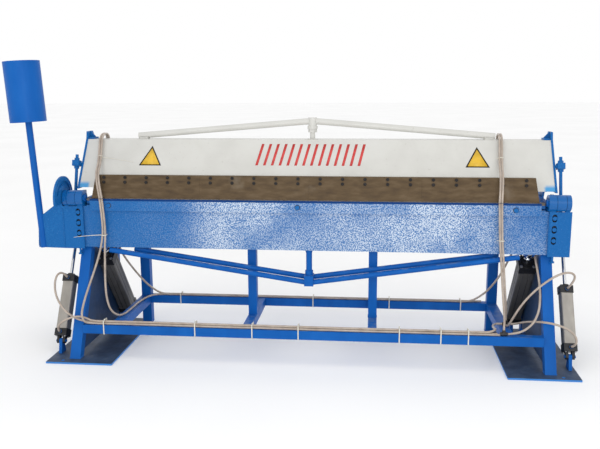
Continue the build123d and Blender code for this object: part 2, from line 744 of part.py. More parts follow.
def clamp_cylinder():
    fittings = ((0, -1, "low"), (0, -1, "high"))
    return cylinder_body(CLAMP_CYL_X, CLAMP_FOOT, CLAMP_EYE, CLAMP_BODY, CLAMP_BORE, fittings)


def clamp_cylinder_rod():
    return cylinder_rod(CLAMP_CYL_X, CLAMP_FOOT, CLAMP_EYE, CLAMP_BORE)


def leaf_cylinder():
    fittings = ((-PORT_SPREAD, 1, "high"), (PORT_SPREAD, 1, "high"))
    return cylinder_body(LEAF_CYL_X, LEAF_FOOT, LEAF_EYE, LEAF_BODY, LEAF_BORE, fittings)


def leaf_cylinder_rod():
    return cylinder_rod(LEAF_CYL_X, LEAF_FOOT, LEAF_EYE, LEAF_BORE)


def foot_lugs():
    """Upright lugs on the foot plates with the cylinders' foot pins."""
    lugs = []
    for x, (y, z) in ((CLAMP_CYL_X, CLAMP_FOOT), (LEAF_CYL_X, LEAF_FOOT)):
        half = LUG_THICK / 2
        outline = ((y - 30, FOOT_THICK), (y + 30, FOOT_THICK), (y + 15, z), (y - 15, z))
        lug = plate_yz(outline, x - half, x + half) + bar_x(y, z, x - half, x + half, 30)
        lug += bar_x(y, z, x - 30, x + 30, CYL_PIN_D)
        lugs.append(lug)
    return both(group(lugs))


# ---- air hoses -------------------------------------------------------------
def hose(name, points):
    """Tube of straight runs joined by the largest arcs that the runs allow."""
    corners = [Vector(*point) for point in points]
    radii = []
    for before, corner, after in zip(corners, corners[1:], corners[2:]):
        arriving, leaving = corner - before, after - corner
        turn = math.radians(arriving.get_angle(leaving))
        radii.append(0.45 * min(arriving.length, leaving.length) / math.tan(turn / 2))
    path = FilletPolyline(*corners, radius=radii)
    start = Plane(origin=corners[0], z_dir=corners[1] - corners[0])
    tube = sweep(start * Circle(HOSE_D / 2), path=path)
    straight = math.pi * HOSE_D**2 / 4 * path.length
    print(name, "length", round(path.length), "volume ratio", round(tube.volume / straight, 4))
    print("    radii", [round(radius) for radius in radii])
    return tube


def shifted(points, dx=0.0, dy=0.0):
    return [(x + dx, y + dy, z) for x, y, z in points]


LEFT_UPPER = [
    (-1266, 334, 887), (-1272, 302, 960), (-1278, 274, 1050), (-1280, 262, 1140), (-1279, 257, 1210),
    (-1278, 234, 1246), (-1275, 166, 1248), (-1270, 116, 1228), (-1264, 82, 1180), (-1256, 44, 1120),
    (-1247, -8, 1070), (-1235, -68, 1046), (-1221, -106, 996), (-1208, -122, 944), (-1200, -127, 898),
]
RIGHT_UPPER = [
    (1078, 334, 887), (1079, 302, 960), (1078, 274, 1050), (1075, 262, 1140), (1073, 257, 1210),
    (1071, 234, 1246), (1068, 166, 1250), (1065, 116, 1228), (1062, 82, 1180), (1058, 44, 1120),
    (1054, -8, 1070), (1049, -68, 1046), (1045, -106, 996), (1042, -122, 944), (1041, -127, 898),
]
LEFT_LOWER_FRONT = [
    (-1200, -127, 896), (-1192, -129, 800), (-1190, -128, 700), (-1205, -130, 620), (-1226, -136, 545),
    (-1254, -160, 452), (-1276, -200, 370), (-1286, -244, 302), (-1288, -276, 252), (-1272, -288, 214),
    (-1246, -273, 201), (-1205, -270, RAIL_HOSE_Z),
]
LEFT_LOWER_REAR = [
    (-1187, -127, 896), (-1179, -129, 800), (-1176, -128, 700), (-1184, -130, 610), (-1188, -133, 510),
    (-1189, -142, 410), (-1180, -160, 320), (-1156, -172, 246), (-1118, -152, 208), (-1100, -92, 200.5),
    (-1096, 30, 199.6), (-1092, 170, 199.8), (-1074, 280, 200.2), (-1030, 336, 199.7),
    (-981, 338, RAIL_HOSE_Z),
]
RIGHT_LOWER_FRONT = [
    (1041, -127, 896), (1046, -129, 790), (1052, -128, 690), (1062, -130, 590), (1071, -132, 490),
    (1079, -138, 400), (1083, -160, 330), (1081, -206, 292), (1075, -250, 272), (1072, -264, 250),
    (1072, -264, 226),
]
RIGHT_LOWER_REAR = [
    (1054, -127, 896), (1059, -129, 790), (1065, -128, 690), (1075, -130, 590), (1084, -132, 490),
    (1092, -135, 400), (1101, -124, 328), (1110, -98, 268), (1112, -92, 226),
]
LEFT_CAP_TOP = [
    (-1432, -109, 426), (-1438, -126, 446), (-1452, -146, 462), (-1470, -166, 450), (-1478, -184, 404),
    (-1466, -206, 342), (-1426, -232, 284), (-1370, -256, 242), (-1310, -268, 218), (-1252, -259, 204),
    (-1205, -257, RAIL_HOSE_Z),
]
LEFT_CAP_BOTTOM = [
    (-1432, -262, 143), (-1431, -276, 156), (-1424, -288, 182), (-1398, -294, 212), (-1352, -286, 234),
    (-1304, -266, 238), (-1262, -262, 224), (-1236, -263, 212.5), (-1205, -263.5, 211.1),
]
RIGHT_CAP_TOP = [
    (1112, -117, 204), (1113, -144, 206), (1130, -166, 252), (1170, -172, 332), (1224, -188, 414),
    (1296, -190, 482), (1372, -174, 524), (1432, -154, 528), (1462, -142, 502), (1448, -130, 456),
    (1432, -109, 426),
]
RIGHT_CAP_BOTTOM = [
    (1134, -92, 204), (1166, -94, 206), (1208, -170, 246), (1272, -246, 272), (1336, -276, 272),
    (1396, -290, 252), (1438, -294, 218), (1450, -290, 180), (1442, -278, 154), (1432, -262, 143),
]
RIGHT_LEAF_FRONT = [
    (1094, -264, 204), (1134, -264, 208), (1184, -264, 228), (1230, -250, 266), (1262, -214, 322),
    (1274, -172, 385), (1274, -138, 450), (1268, -104, 512), (1264, -62, 560), (1263, -10, 610),
    (1263, 60, 662), (1258, 140, 690), (1250, 167.6, 622.1), (1250, 79.5, 555.1),
]
RIGHT_LEAF_REAR = [
    (941, 338, RAIL_HOSE_Z), (978, 335, 206), (1012, 306, 236), (1055, 256, 290), (1088, 228, 345),
    (1114, 206, 395), (1142, 196, 455), (1170, 190, 525), (1194, 178, 582), (1214, 135.2, 597.4),
    (1214, 79.5, 555.1),
]
LEFT_LEAF_REAR = [
    (-991, 351, RAIL_HOSE_Z), (-1022, 349, 208), (-1048, 318, 240), (-1070, 262, 286), (-1100, 210, 352),
    (-1150, 196, 424), (-1202, 192, 505), (-1216, 178, 576), (-1214, 135.2, 597.4), (-1214, 79.5, 555.1),
]


def rail_run(start, end, ties, y, z=RAIL_HOSE_Z, sway=1.5):
    """Points of a hose that lies on a rail and bows a little between its ties."""
    stops = [start, *ties, end]
    points = [(start, y, z)]
    for index, (here, there) in enumerate(zip(stops, stops[1:])):
        bow = sway if index % 2 else -sway
        points.append(((here + there) / 2, y + bow, z))
        points.append((there, y, z))
    return points


def rail_hoses():
    """Bundles that lie on the front and rear rails between their ties."""
    start = -1204
    back = FRONT_HOSE_Y + HOSE_PITCH
    top = rail_run(start, 1000, FRONT_TIES, FRONT_HOSE_Y + HOSE_PITCH / 2, RAIL_HOSE_Z + 11.6)
    top += [(1036, -236, 220), (1030, -180, 210), (1036, -124, 205), (1060, -93, 204.5), (1090.5, -92, 204)]
    return group([
        hose("front rail, front", rail_run(start, RAIL_TEE[0] - 21, FRONT_TIES, FRONT_HOSE_Y)),
        hose("front rail, back", rail_run(start, 1040, FRONT_TIES, back)),
        hose("front rail, top", top),
        hose("rear rail, front", rail_run(-980, 940, REAR_TIES, REAR_HOSE_Y)),
        hose("rear rail, back", rail_run(-990, 1040, REAR_TIES, REAR_HOSE_Y + HOSE_PITCH)),
    ])


def cylinder_hoses():
    """Loops from the rails and tees to the four cylinders."""
    return group([
        hose("left clamp cylinder, top", LEFT_CAP_TOP),
        hose("left clamp cylinder, bottom", LEFT_CAP_BOTTOM),
        hose("right clamp cylinder, top", RIGHT_CAP_TOP),
        hose("right clamp cylinder, bottom", RIGHT_CAP_BOTTOM),
        hose("right leaf cylinder, front", RIGHT_LEAF_FRONT),
        hose("right leaf cylinder, rear", RIGHT_LEAF_REAR),
        hose("left leaf cylinder, rear", LEFT_LEAF_REAR),
    ])


def upper_drapes():
    """Two pairs of hoses that hang over the clamp beam down to the fold line."""
    return group([
        hose("left upper, outer", LEFT_UPPER),
        hose("left upper, inner", shifted(LEFT_UPPER, dx=HOSE_PITCH)),
        hose("right upper, inner", RIGHT_UPPER),
        hose("right upper, outer", shifted(RIGHT_UPPER, dx=HOSE_PITCH)),
    ])


def lower_drapes():
    """The same four hoses from the fold line down past the leaf."""
    return group([
        hose("left lower, front", LEFT_LOWER_FRONT),
        hose("left lower, rear", LEFT_LOWER_REAR),
        hose("right lower, front", RIGHT_LOWER_FRONT),
        hose("right lower, rear", RIGHT_LOWER_REAR),
    ])


def tee(x, y, z):
    """Push-in tee that lies along X with its branch upward."""
    return bar_x(y, z, x - 20, x + 20, 20) + bar_z(x, y, z, z + 20, 20)


def hose_fittings():
    """Push-in tees at the right and twin sockets on the rear top rail."""
    x, y, z = CROSS_TEE
    cross_tee = tee(*CROSS_TEE) + block(x - 12, x + 12, y - 22, y, z - 9, z + 9)
    top = HEAD_BOTTOM + TUBE
    sockets = []
    for x in (LEFT_UPPER[0][0], RIGHT_UPPER[0][0]):
        body = block(x - 12, x + 12 + HOSE_PITCH, 326, 362, top, top + 36)
        sockets.append(body - block(x - 40, x + 60, 300, 334, top + 20, top + 50))
    return group([tee(*RAIL_TEE), cross_tee, *sockets])


def cable_ties():
    """Plastic ties round the rails and their hoses."""
    ties = []
    for xs, y0, reach in ((FRONT_TIES, FRONT_RAIL_FRONT, 26), (REAR_TIES, REAR_LEG_FRONT, 16)):
        y1 = y0 + TUBE
        top = RAIL_TOP + reach
        for x in xs:
            outer = block(x - 3, x + 3, y0 - 2.5, y1 + 2.5, RAIL_BOTTOM - 2.5, top + 2)
            ties.append(outer - block(x - 4, x + 4, y0 - 0.5, y1 + 0.5, RAIL_BOTTOM - 0.5, top))
    return group(ties)


# ---- output ----------------------------------------------------------------
def save(name, shape):
    shape.label = name
    export_step(shape, f"parts/{name}.step")


def save_pair(name, shape):
    """Right-hand part as modelled and its mirror image for the left."""
    save(f"{name}_right", shape)
    save(f"{name}_left", mirrored(shape))


def main():
    os.makedirs("parts", exist_ok=True)
    save_pair("foot_plate", foot_plate())
    save_pair("front_leg", front_leg())
    save("rear_legs", rear_legs())
    save("side_panels", side_panels())
    save_pair("head_rail", head_rail())
    save("front_rail", front_rail())
    save("rear_rail", rear_rail())
    save("rear_top_rail", rear_top_rail())
    save("cross_rails", cross_rails())
    save("bed_posts", bed_posts())
    save("bed_beam", bed_beam())
    save("bed_jaw", bed_jaw())
    save_pair("hinge_bracket", hinge_bracket())
    save("pivot_pins", pivot_pins())
    save("foot_lugs", foot_lugs())
    save("leaf_plate", leaf_plate())
    save("bending_bar", bending_bar())
    save("leaf_end_right", leaf_end_right())
    save("leaf_end_left", leaf_end_left())
    save("counterweight_rod", counterweight_rod())
    save("counterweight", counterweight())
    save("angle_disc", angle_disc())
    save("leaf_truss", leaf_truss())
    save("leaf_strut", leaf_strut())
    save("leaf_bolts", bar_bolts())
    save("leaf_lugs", leaf_lugs())
    save("clamp_beam", clamp_beam())
    save("nose_bar", nose_bar())
    for number in range(BLADE_SEGMENTS):
        save(f"blade_{number + 1}", blade(number))
    save("blade_bolts", blade_bolts())
    save("top_truss", top_truss())
    save("top_strut", top_strut())
    save_pair("clamp_arm", clamp_arm())
    save_pair("tie_rod", tie_rod())
    save_pair("clamp_rocker", clamp_rocker())
    save_pair("clamp_cylinder", clamp_cylinder())
    save_pair("clamp_cylinder_rod", clamp_cylinder_rod())
    save_pair("leaf_cylinder", leaf_cylinder())
    save_pair("leaf_cylinder_rod", leaf_cylinder_rod())
    save("rail_hoses", rail_hoses())
    save("cylinder_hoses", cylinder_hoses())
    save("upper_drapes", upper_drapes())
    save("lower_drapes", lower_drapes())
    save("hose_fittings", hose_fittings())
    save("cable_ties", cable_ties())


main()
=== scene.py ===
import json
import math

import bmesh
import bpy
from mathutils import Matrix, Vector, noise


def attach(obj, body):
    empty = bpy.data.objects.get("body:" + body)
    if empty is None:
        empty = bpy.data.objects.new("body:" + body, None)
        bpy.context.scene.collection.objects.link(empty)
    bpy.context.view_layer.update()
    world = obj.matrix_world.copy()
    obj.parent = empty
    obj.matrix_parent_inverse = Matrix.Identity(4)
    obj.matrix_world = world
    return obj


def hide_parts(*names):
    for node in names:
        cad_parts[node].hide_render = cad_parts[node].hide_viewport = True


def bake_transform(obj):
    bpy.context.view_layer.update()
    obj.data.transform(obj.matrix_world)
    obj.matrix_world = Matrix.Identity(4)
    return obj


# Looks of a pneumatic sheet metal folding brake.  Metres, in the CAD frame:
# +X along the bed, +Y to the rear, +Z up from the floor.

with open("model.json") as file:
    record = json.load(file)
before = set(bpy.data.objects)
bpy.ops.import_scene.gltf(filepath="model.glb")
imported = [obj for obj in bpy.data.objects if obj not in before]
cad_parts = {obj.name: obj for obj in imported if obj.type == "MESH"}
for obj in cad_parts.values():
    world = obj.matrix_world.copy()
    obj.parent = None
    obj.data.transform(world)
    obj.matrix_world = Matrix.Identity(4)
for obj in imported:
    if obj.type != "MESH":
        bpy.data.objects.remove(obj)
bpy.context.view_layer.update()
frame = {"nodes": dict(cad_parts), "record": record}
nodes = frame["nodes"]

# ---- sizes that the pieces share -------------------------------------------
HOSE_D = 0.012
HOSE_PITCH = 0.013
SKIN_LOW = Vector((0, -0.043, 0.951))
SKIN_HIGH = Vector((0, 0.132, 1.218))
SKIN_UP = (SKIN_HIGH - SKIN_LOW).normalized()
SKIN_OUT = Vector((0, -SKIN_UP.z, SKIN_UP.y))
CLAMP_X = 1.432
CLAMP_FOOT = Vector((0, -0.240, 0.078))
CLAMP_EYE = Vector((0, 0.1057, 0.7135))
CLAMP_BODY = 0.389
LEAF_X = 1.232
LEAF_FOOT = Vector((0, 0.365, 0.080))
LEAF_EYE = Vector((0, -0.030, 0.600))
LEAF_BODY = 0.574
CAP_BASE = 0.026
CLAMP_CAP = 0.070
CLAMP_CAP_LENGTH = 0.042
LEAF_CAP = 0.094
LEAF_CAP_LENGTH = 0.046
LEAF_BARREL_HALF = 0.0441
JAW_PAINT_TOP = 0.882
BAR_HALF = 1.266
BAR_TOP = 0.894
BAR_FRONT = -0.114
BAR_BOLT_X = (-1.154, -0.063, 1.132)
BAR_BOLT_Z = 0.857
KNUCKLE_LOW = 0.856
SPRAY_X = (1.285, 1.305)
SPRAY_Z = (0.966, 0.990)
CLAMP_SCREW_OFFSET = 0.0255
CLAMP_SCREW_RADIUS = 0.006
LEAF_SCREW_OFFSET = 0.0345
LEAF_SCREW_RADIUS = 0.0085
GROOVE_OFFSET = 0.016
PORT_SPREAD = 0.018
PORT_REACH = 0.012
POST_X = (-0.343, 0.364)
FRONT_TIE_X = (-1.157, -0.628, -0.303, -0.044, 0.512, 0.736, 0.883)
SIDES = (("right", 1), ("left", -1))
AXES = (Vector((1, 0, 0)), Vector((0, 1, 0)), Vector((0, 0, 1)))


# ---- hose routes, point by point --------------------------------------------
LEFT_UPPER = [
    (-1.266, 0.334, 0.887), (-1.272, 0.302, 0.96), (-1.278, 0.274, 1.05), (-1.28, 0.262, 1.14),
    (-1.279, 0.257, 1.21), (-1.278, 0.234, 1.246), (-1.275, 0.166, 1.248), (-1.27, 0.116, 1.228),
    (-1.264, 0.082, 1.18), (-1.256, 0.044, 1.12), (-1.247, -0.008, 1.07), (-1.235, -0.068, 1.046),
    (-1.221, -0.106, 0.996), (-1.208, -0.122, 0.944), (-1.2, -0.127, 0.898),
]
RIGHT_UPPER = [
    (1.078, 0.334, 0.887), (1.079, 0.302, 0.96), (1.078, 0.274, 1.05), (1.075, 0.262, 1.14),
    (1.073, 0.257, 1.21), (1.071, 0.234, 1.246), (1.068, 0.166, 1.25), (1.065, 0.116, 1.228),
    (1.062, 0.082, 1.18), (1.058, 0.044, 1.12), (1.054, -0.008, 1.07), (1.049, -0.068, 1.046),
    (1.045, -0.106, 0.996), (1.042, -0.122, 0.944), (1.041, -0.127, 0.898),
]
LEFT_LOWER_FRONT = [
    (-1.2, -0.127, 0.896), (-1.192, -0.129, 0.8), (-1.19, -0.128, 0.7), (-1.205, -0.13, 0.62),
    (-1.226, -0.136, 0.545), (-1.254, -0.16, 0.452), (-1.276, -0.2, 0.37), (-1.286, -0.244, 0.302),
    (-1.288, -0.276, 0.252), (-1.272, -0.288, 0.214), (-1.246, -0.273, 0.201),
    (-1.205, -0.27, 0.1995),
]
LEFT_LOWER_REAR = [
    (-1.187, -0.127, 0.896), (-1.179, -0.129, 0.8), (-1.176, -0.128, 0.7), (-1.184, -0.13, 0.61),
    (-1.188, -0.133, 0.51), (-1.189, -0.142, 0.41), (-1.18, -0.16, 0.32), (-1.156, -0.172, 0.246),
    (-1.118, -0.152, 0.208), (-1.1, -0.092, 0.2005), (-1.096, 0.03, 0.1996), (-1.092, 0.17, 0.1998),
    (-1.074, 0.28, 0.2002), (-1.03, 0.336, 0.1997), (-0.981, 0.338, 0.1995),
]
RIGHT_LOWER_FRONT = [
    (1.041, -0.127, 0.896), (1.046, -0.129, 0.79), (1.052, -0.128, 0.69), (1.062, -0.13, 0.59),
    (1.071, -0.132, 0.49), (1.079, -0.138, 0.4), (1.083, -0.16, 0.33), (1.081, -0.206, 0.292),
    (1.075, -0.25, 0.272), (1.072, -0.264, 0.25), (1.072, -0.264, 0.226),
]
RIGHT_LOWER_REAR = [
    (1.054, -0.127, 0.896), (1.059, -0.129, 0.79), (1.065, -0.128, 0.69), (1.075, -0.13, 0.59),
    (1.084, -0.132, 0.49), (1.092, -0.135, 0.4), (1.101, -0.124, 0.328), (1.11, -0.098, 0.268),
    (1.112, -0.092, 0.226),
]
LEFT_CAP_TOP = [
    (-1.432, -0.109, 0.426), (-1.438, -0.126, 0.446), (-1.452, -0.146, 0.462),
    (-1.47, -0.166, 0.45), (-1.478, -0.184, 0.404), (-1.466, -0.206, 0.342),
    (-1.426, -0.232, 0.284), (-1.37, -0.256, 0.242), (-1.31, -0.268, 0.218),
    (-1.252, -0.259, 0.204), (-1.205, -0.257, 0.1995),
]
LEFT_CAP_BOTTOM = [
    (-1.432, -0.262, 0.143), (-1.431, -0.276, 0.156), (-1.424, -0.288, 0.182),
    (-1.398, -0.294, 0.212), (-1.352, -0.286, 0.234), (-1.304, -0.266, 0.238),
    (-1.262, -0.262, 0.224), (-1.236, -0.263, 0.2125), (-1.205, -0.2635, 0.2111),
]
RIGHT_CAP_TOP = [
    (1.112, -0.117, 0.204), (1.113, -0.144, 0.206), (1.13, -0.166, 0.252), (1.17, -0.172, 0.332),
    (1.224, -0.188, 0.414), (1.296, -0.19, 0.482), (1.372, -0.174, 0.524), (1.432, -0.154, 0.528),
    (1.462, -0.142, 0.502), (1.448, -0.13, 0.456), (1.432, -0.109, 0.426),
]
RIGHT_CAP_BOTTOM = [
    (1.134, -0.092, 0.204), (1.166, -0.094, 0.206), (1.208, -0.17, 0.246), (1.272, -0.246, 0.272),
    (1.336, -0.276, 0.272), (1.396, -0.29, 0.252), (1.438, -0.294, 0.218), (1.45, -0.29, 0.18),
    (1.442, -0.278, 0.154), (1.432, -0.262, 0.143),
]
RIGHT_LEAF_FRONT = [
    (1.094, -0.264, 0.204), (1.134, -0.264, 0.208), (1.184, -0.264, 0.228), (1.23, -0.25, 0.266),
    (1.262, -0.214, 0.322), (1.274, -0.172, 0.385), (1.274, -0.138, 0.45), (1.268, -0.104, 0.512),
    (1.264, -0.062, 0.56), (1.263, -0.01, 0.61), (1.263, 0.06, 0.662), (1.258, 0.14, 0.69),
    (1.25, 0.1676, 0.6221), (1.25, 0.0795, 0.5551),
]
RIGHT_LEAF_REAR = [
    (0.941, 0.338, 0.1995), (0.978, 0.335, 0.206), (1.012, 0.306, 0.236), (1.055, 0.256, 0.29),
    (1.088, 0.228, 0.345), (1.114, 0.206, 0.395), (1.142, 0.196, 0.455), (1.17, 0.19, 0.525),
    (1.194, 0.178, 0.582), (1.214, 0.1352, 0.5974), (1.214, 0.0795, 0.5551),
]
LEFT_LEAF_REAR = [
    (-0.991, 0.351, 0.1995), (-1.022, 0.349, 0.208), (-1.048, 0.318, 0.24), (-1.07, 0.262, 0.286),
    (-1.1, 0.21, 0.352), (-1.15, 0.196, 0.424), (-1.202, 0.192, 0.505), (-1.216, 0.178, 0.576),
    (-1.214, 0.1352, 0.5974), (-1.214, 0.0795, 0.5551),
]


def upper_route(route, dx):
    return [(x + dx, y, z) for x, y, z in route]


# ---- node helpers ----------------------------------------------------------
class Paint:
    """A material's node tree, with short calls for the nodes that paints share."""

    def __init__(self, name, roughness=0.5, metallic=0.0, coat=0.0, specular=0.5):
        self.material = bpy.data.materials.new(name)
        self.material.use_nodes = True
        self.tree = self.material.node_tree
        self.shader = self.tree.nodes["Principled BSDF"]
        self.shader.inputs["Roughness"].default_value = roughness
        self.shader.inputs["Metallic"].default_value = metallic
        self.shader.inputs["Coat Weight"].default_value = coat
        self.shader.inputs["Coat Roughness"].default_value = 0.10
        self.shader.inputs["Specular IOR Level"].default_value = specular
        self.place = self.add("ShaderNodeTexCoord").outputs["Object"]

    def add(self, kind, **settings):
        node = self.tree.nodes.new(kind)
        for key, value in settings.items():
            setattr(node, key, value)
        return node

    def link(self, source, target):
        self.tree.links.new(source, target)

    def noise(self, scale, detail=3.0, stretch=(1, 1, 1)):
        """Noise value in the part's own frame, drawn out along an axis if asked."""
        mapping = self.add("ShaderNodeMapping")
        mapping.inputs["Scale"].default_value = stretch
        self.link(self.place, mapping.inputs["Vector"])
        texture = self.add("ShaderNodeTexNoise")
        texture.inputs["Scale"].default_value = scale
        texture.inputs["Detail"].default_value = detail
        self.link(mapping.outputs["Vector"], texture.inputs["Vector"])
        return texture.outputs["Fac"]

    def cells(self, scale):
        texture = self.add("ShaderNodeTexVoronoi")
        texture.inputs["Scale"].default_value = scale
        self.link(self.place, texture.inputs["Vector"])
        return texture.outputs["Distance"]

    def ramp(self, value, stops):
        """Colour or grey ramp; stops are (position, colour)."""
        node = self.add("ShaderNodeValToRGB")
        elements = node.color_ramp.elements
        while len(elements) < len(stops):
            elements.new(0.5)
        for element, (position, colour) in zip(elements, stops):
            element.position = position
            element.color = (*colour, 1)
        self.link(value, node.inputs["Fac"])
        return node.outputs["Color"]

    def mix(self, share, first, second):
        """Mix of two colours; either may be a tuple or a socket."""
        node = self.add("ShaderNodeMix", data_type="RGBA")
        if isinstance(share, (int, float)):
            node.inputs[0].default_value = share
        else:
            self.link(share, node.inputs[0])
        for socket, colour in ((node.inputs[6], first), (node.inputs[7], second)):
            if isinstance(colour, tuple):
                socket.default_value = (*colour, 1)
            else:
                self.link(colour, socket)
        return node.outputs[2]

    def math(self, operation, first, second=0.0):
        node = self.add("ShaderNodeMath", operation=operation)
        for socket, value in ((node.inputs[0], first), (node.inputs[1], second)):
            if isinstance(value, (int, float)):
                socket.default_value = value
            else:
                self.link(value, socket)
        return node.outputs[0]

    def along(self, origin, direction):
        """Distance of a point from origin, measured along direction."""
        apart = self.add("ShaderNodeVectorMath", operation="SUBTRACT")
        apart.inputs[1].default_value = origin
        self.link(self.place, apart.inputs[0])
        dot = self.add("ShaderNodeVectorMath", operation="DOT_PRODUCT")
        dot.inputs[1].default_value = direction
        self.link(apart.outputs["Vector"], dot.inputs[0])
        return dot.outputs["Value"]

    def step(self, value, low, high):
        """0 below low, 1 above high, smooth between."""
        node = self.add("ShaderNodeMapRange", interpolation_type="SMOOTHSTEP")
        node.inputs["From Min"].default_value = low
        node.inputs["From Max"].default_value = high
        self.link(value, node.inputs["Value"])
        return node.outputs["Result"]

    def facing_up(self):
        """1 on surfaces that face up, from the surface's own normal."""
        normal = self.add("ShaderNodeSeparateXYZ")
        self.link(self.add("ShaderNodeNewGeometry").outputs["Normal"], normal.inputs[0])
        return self.step(normal.outputs["Z"], 0.5, 0.8)

    def colour(self, socket):
        self.link(socket, self.shader.inputs["Base Color"])

    def rough(self, value, low, high):
        node = self.add("ShaderNodeMapRange")
        node.inputs["To Min"].default_value = low
        node.inputs["To Max"].default_value = high
        self.link(value, node.inputs["Value"])
        self.link(node.outputs["Result"], self.shader.inputs["Roughness"])

    def bump(self, height, strength, distance):
        node = self.add("ShaderNodeBump")
        node.inputs["Strength"].default_value = strength
        node.inputs["Distance"].default_value = distance
        self.link(height, node.inputs["Height"])
        self.link(node.outputs["Normal"], self.shader.inputs["Normal"])


# ---- materials -------------------------------------------------------------
BLUE = (0.007, 0.116, 0.365)
BLUE_DEEP = (0.006, 0.088, 0.290)
BLUE_PALE = (0.018, 0.165, 0.440)
# Pale colour of the painted glints in the hammertone.
PAINTED_GLINT_SPECK = (0.35, 0.52, 0.72)
# Pale colour of the painted sheen's glints on the leaf.
GLINT = (0.58, 0.66, 0.76)
EDGE_BLUE = (0.001, 0.038, 0.170)
KNUCKLE_BLUE = (0.002, 0.105, 0.350)
# Painted sheen on the leaf: how strong its pale painted glints are, as (place, share), where place runs
# from 0 at the leaf's left end to 1 at its right end and is eased at both.
SHEEN_SHARES = (
    (0.03, 0.05),
    (0.09, 0.12),
    (0.22, 0.75),
    (0.50, 0.50),
    (0.73, 0.70),
    (0.90, 0.95),
    (0.97, 0.50),
    (1.0, 0.25),
)
WHITE = (0.610, 0.606, 0.572)


def hammertone(name):
    """Blue hammer-finish enamel: dimples with pale rims, and a few bright specks painted in as glints of
    light.
    """
    paint = Paint(name, specular=0.14)
    cells = paint.cells(150)
    tone = paint.ramp(cells, [(0.0, BLUE_DEEP), (0.45, BLUE), (1.0, BLUE_PALE)])
    tone = paint.mix(paint.step(paint.noise(3.0), 0.35, 0.75), tone, BLUE)
    # Painted highlight: bright specks mixed into the colour stand in for glints of light off the hammered
    # paint.
    specks = paint.step(paint.noise(210, 1.0), 0.67, 0.76)
    tone = paint.mix(paint.math("MULTIPLY", specks, 0.3), tone, PAINTED_GLINT_SPECK)
    paint.rough(cells, 0.24, 0.44)
    paint.bump(cells, 0.30, 0.0010)
    return paint, tone


def plain_hammertone():
    paint, tone = hammertone("blue_hammertone")
    paint.colour(tone)
    return paint.material


def leaf_hammertone():
    """Hammertone with a painted sheen: pale glints, painted into the colour in patches along the leaf,
    stand in for the light it reflects.
    """
    paint, tone = hammertone("blue_sheen")
    station = paint.step(paint.along((0, 0, 0), (1, 0, 0)), -BAR_HALF, BAR_HALF)
    share = paint.ramp(station, [(place, (grey, grey, grey)) for place, grey in SHEEN_SHARES])
    # Painted sheen: glints of reflected light, gathered in patches, mixed into the colour.
    glints = paint.math("ADD", paint.step(paint.noise(165, 1.5), 0.42, 0.60), 0.12)
    patches = paint.math("ADD", paint.step(paint.noise(3.5), 0.3, 0.7), 0.45)
    share = paint.math("MULTIPLY", paint.math("MULTIPLY", share, glints), patches)
    tone = paint.mix(share, tone, GLINT)
    edge = paint.step(paint.along((0, 0, BAR_TOP), (0, 0, 1)), -0.012, -0.010)
    paint.colour(paint.mix(edge, tone, EDGE_BLUE))
    return paint.material


def knuckle_hammertone():
    """Hammertone whose knuckles, above the end plates, have a wet gloss."""
    paint, tone = hammertone("blue_knuckle")
    gloss = paint.step(paint.along((0, 0, KNUCKLE_LOW), (0, 0, 1)), 0.0, 0.006)
    paint.colour(paint.mix(gloss, tone, KNUCKLE_BLUE))
    paint.link(paint.math("MULTIPLY", gloss, 0.45), paint.shader.inputs["Coat Weight"])
    return paint.material


def tube_blue():
    """Plain bright blue enamel with runs, dust and thin places."""
    paint = Paint("blue_tube", specular=0.12)
    runs = paint.noise(9, 4.0, (1, 1, 0.35))
    tone = paint.ramp(runs, [(0.25, (0.003, 0.085, 0.350)),
                             (0.6, (0.005, 0.108, 0.420)),
                             (0.9, (0.012, 0.135, 0.470))])
    dust = paint.math("MULTIPLY", paint.facing_up(), paint.step(paint.noise(24), 0.45, 0.7))
    paint.colour(paint.mix(paint.math("MULTIPLY", dust, 0.3), tone, (0.22, 0.30, 0.38)))
    paint.rough(paint.noise(60), 0.30, 0.48)
    paint.bump(paint.noise(160, 2.0), 0.12, 0.0006)
    return paint.material


def foot_slate():
    """Trodden dark top with scuffs; the cut edges keep their bright blue."""
    paint = Paint("slate_floor_paint")
    scuffs = paint.ramp(paint.noise(14, 5.0), [(0.35, (0.016, 0.034, 0.075)),
                                               (0.6, (0.030, 0.058, 0.115)),
                                               (0.8, (0.075, 0.10, 0.14))])
    paint.colour(paint.mix(paint.facing_up(), (0.030, 0.200, 0.560), scuffs))
    paint.rough(paint.noise(40), 0.45, 0.7)
    paint.bump(paint.noise(120, 3.0), 0.15, 0.0006)
    return paint.material


def navy():
    paint = Paint("panel_navy")
    paint.colour(paint.ramp(paint.noise(5, 4.0), [(0.3, (0.008, 0.030, 0.085)),
                                                  (0.7, (0.018, 0.062, 0.165))]))
    paint.rough(paint.noise(30), 0.4, 0.6)
    paint.bump(paint.noise(20, 2.0), 0.1, 0.001)
    return paint.material


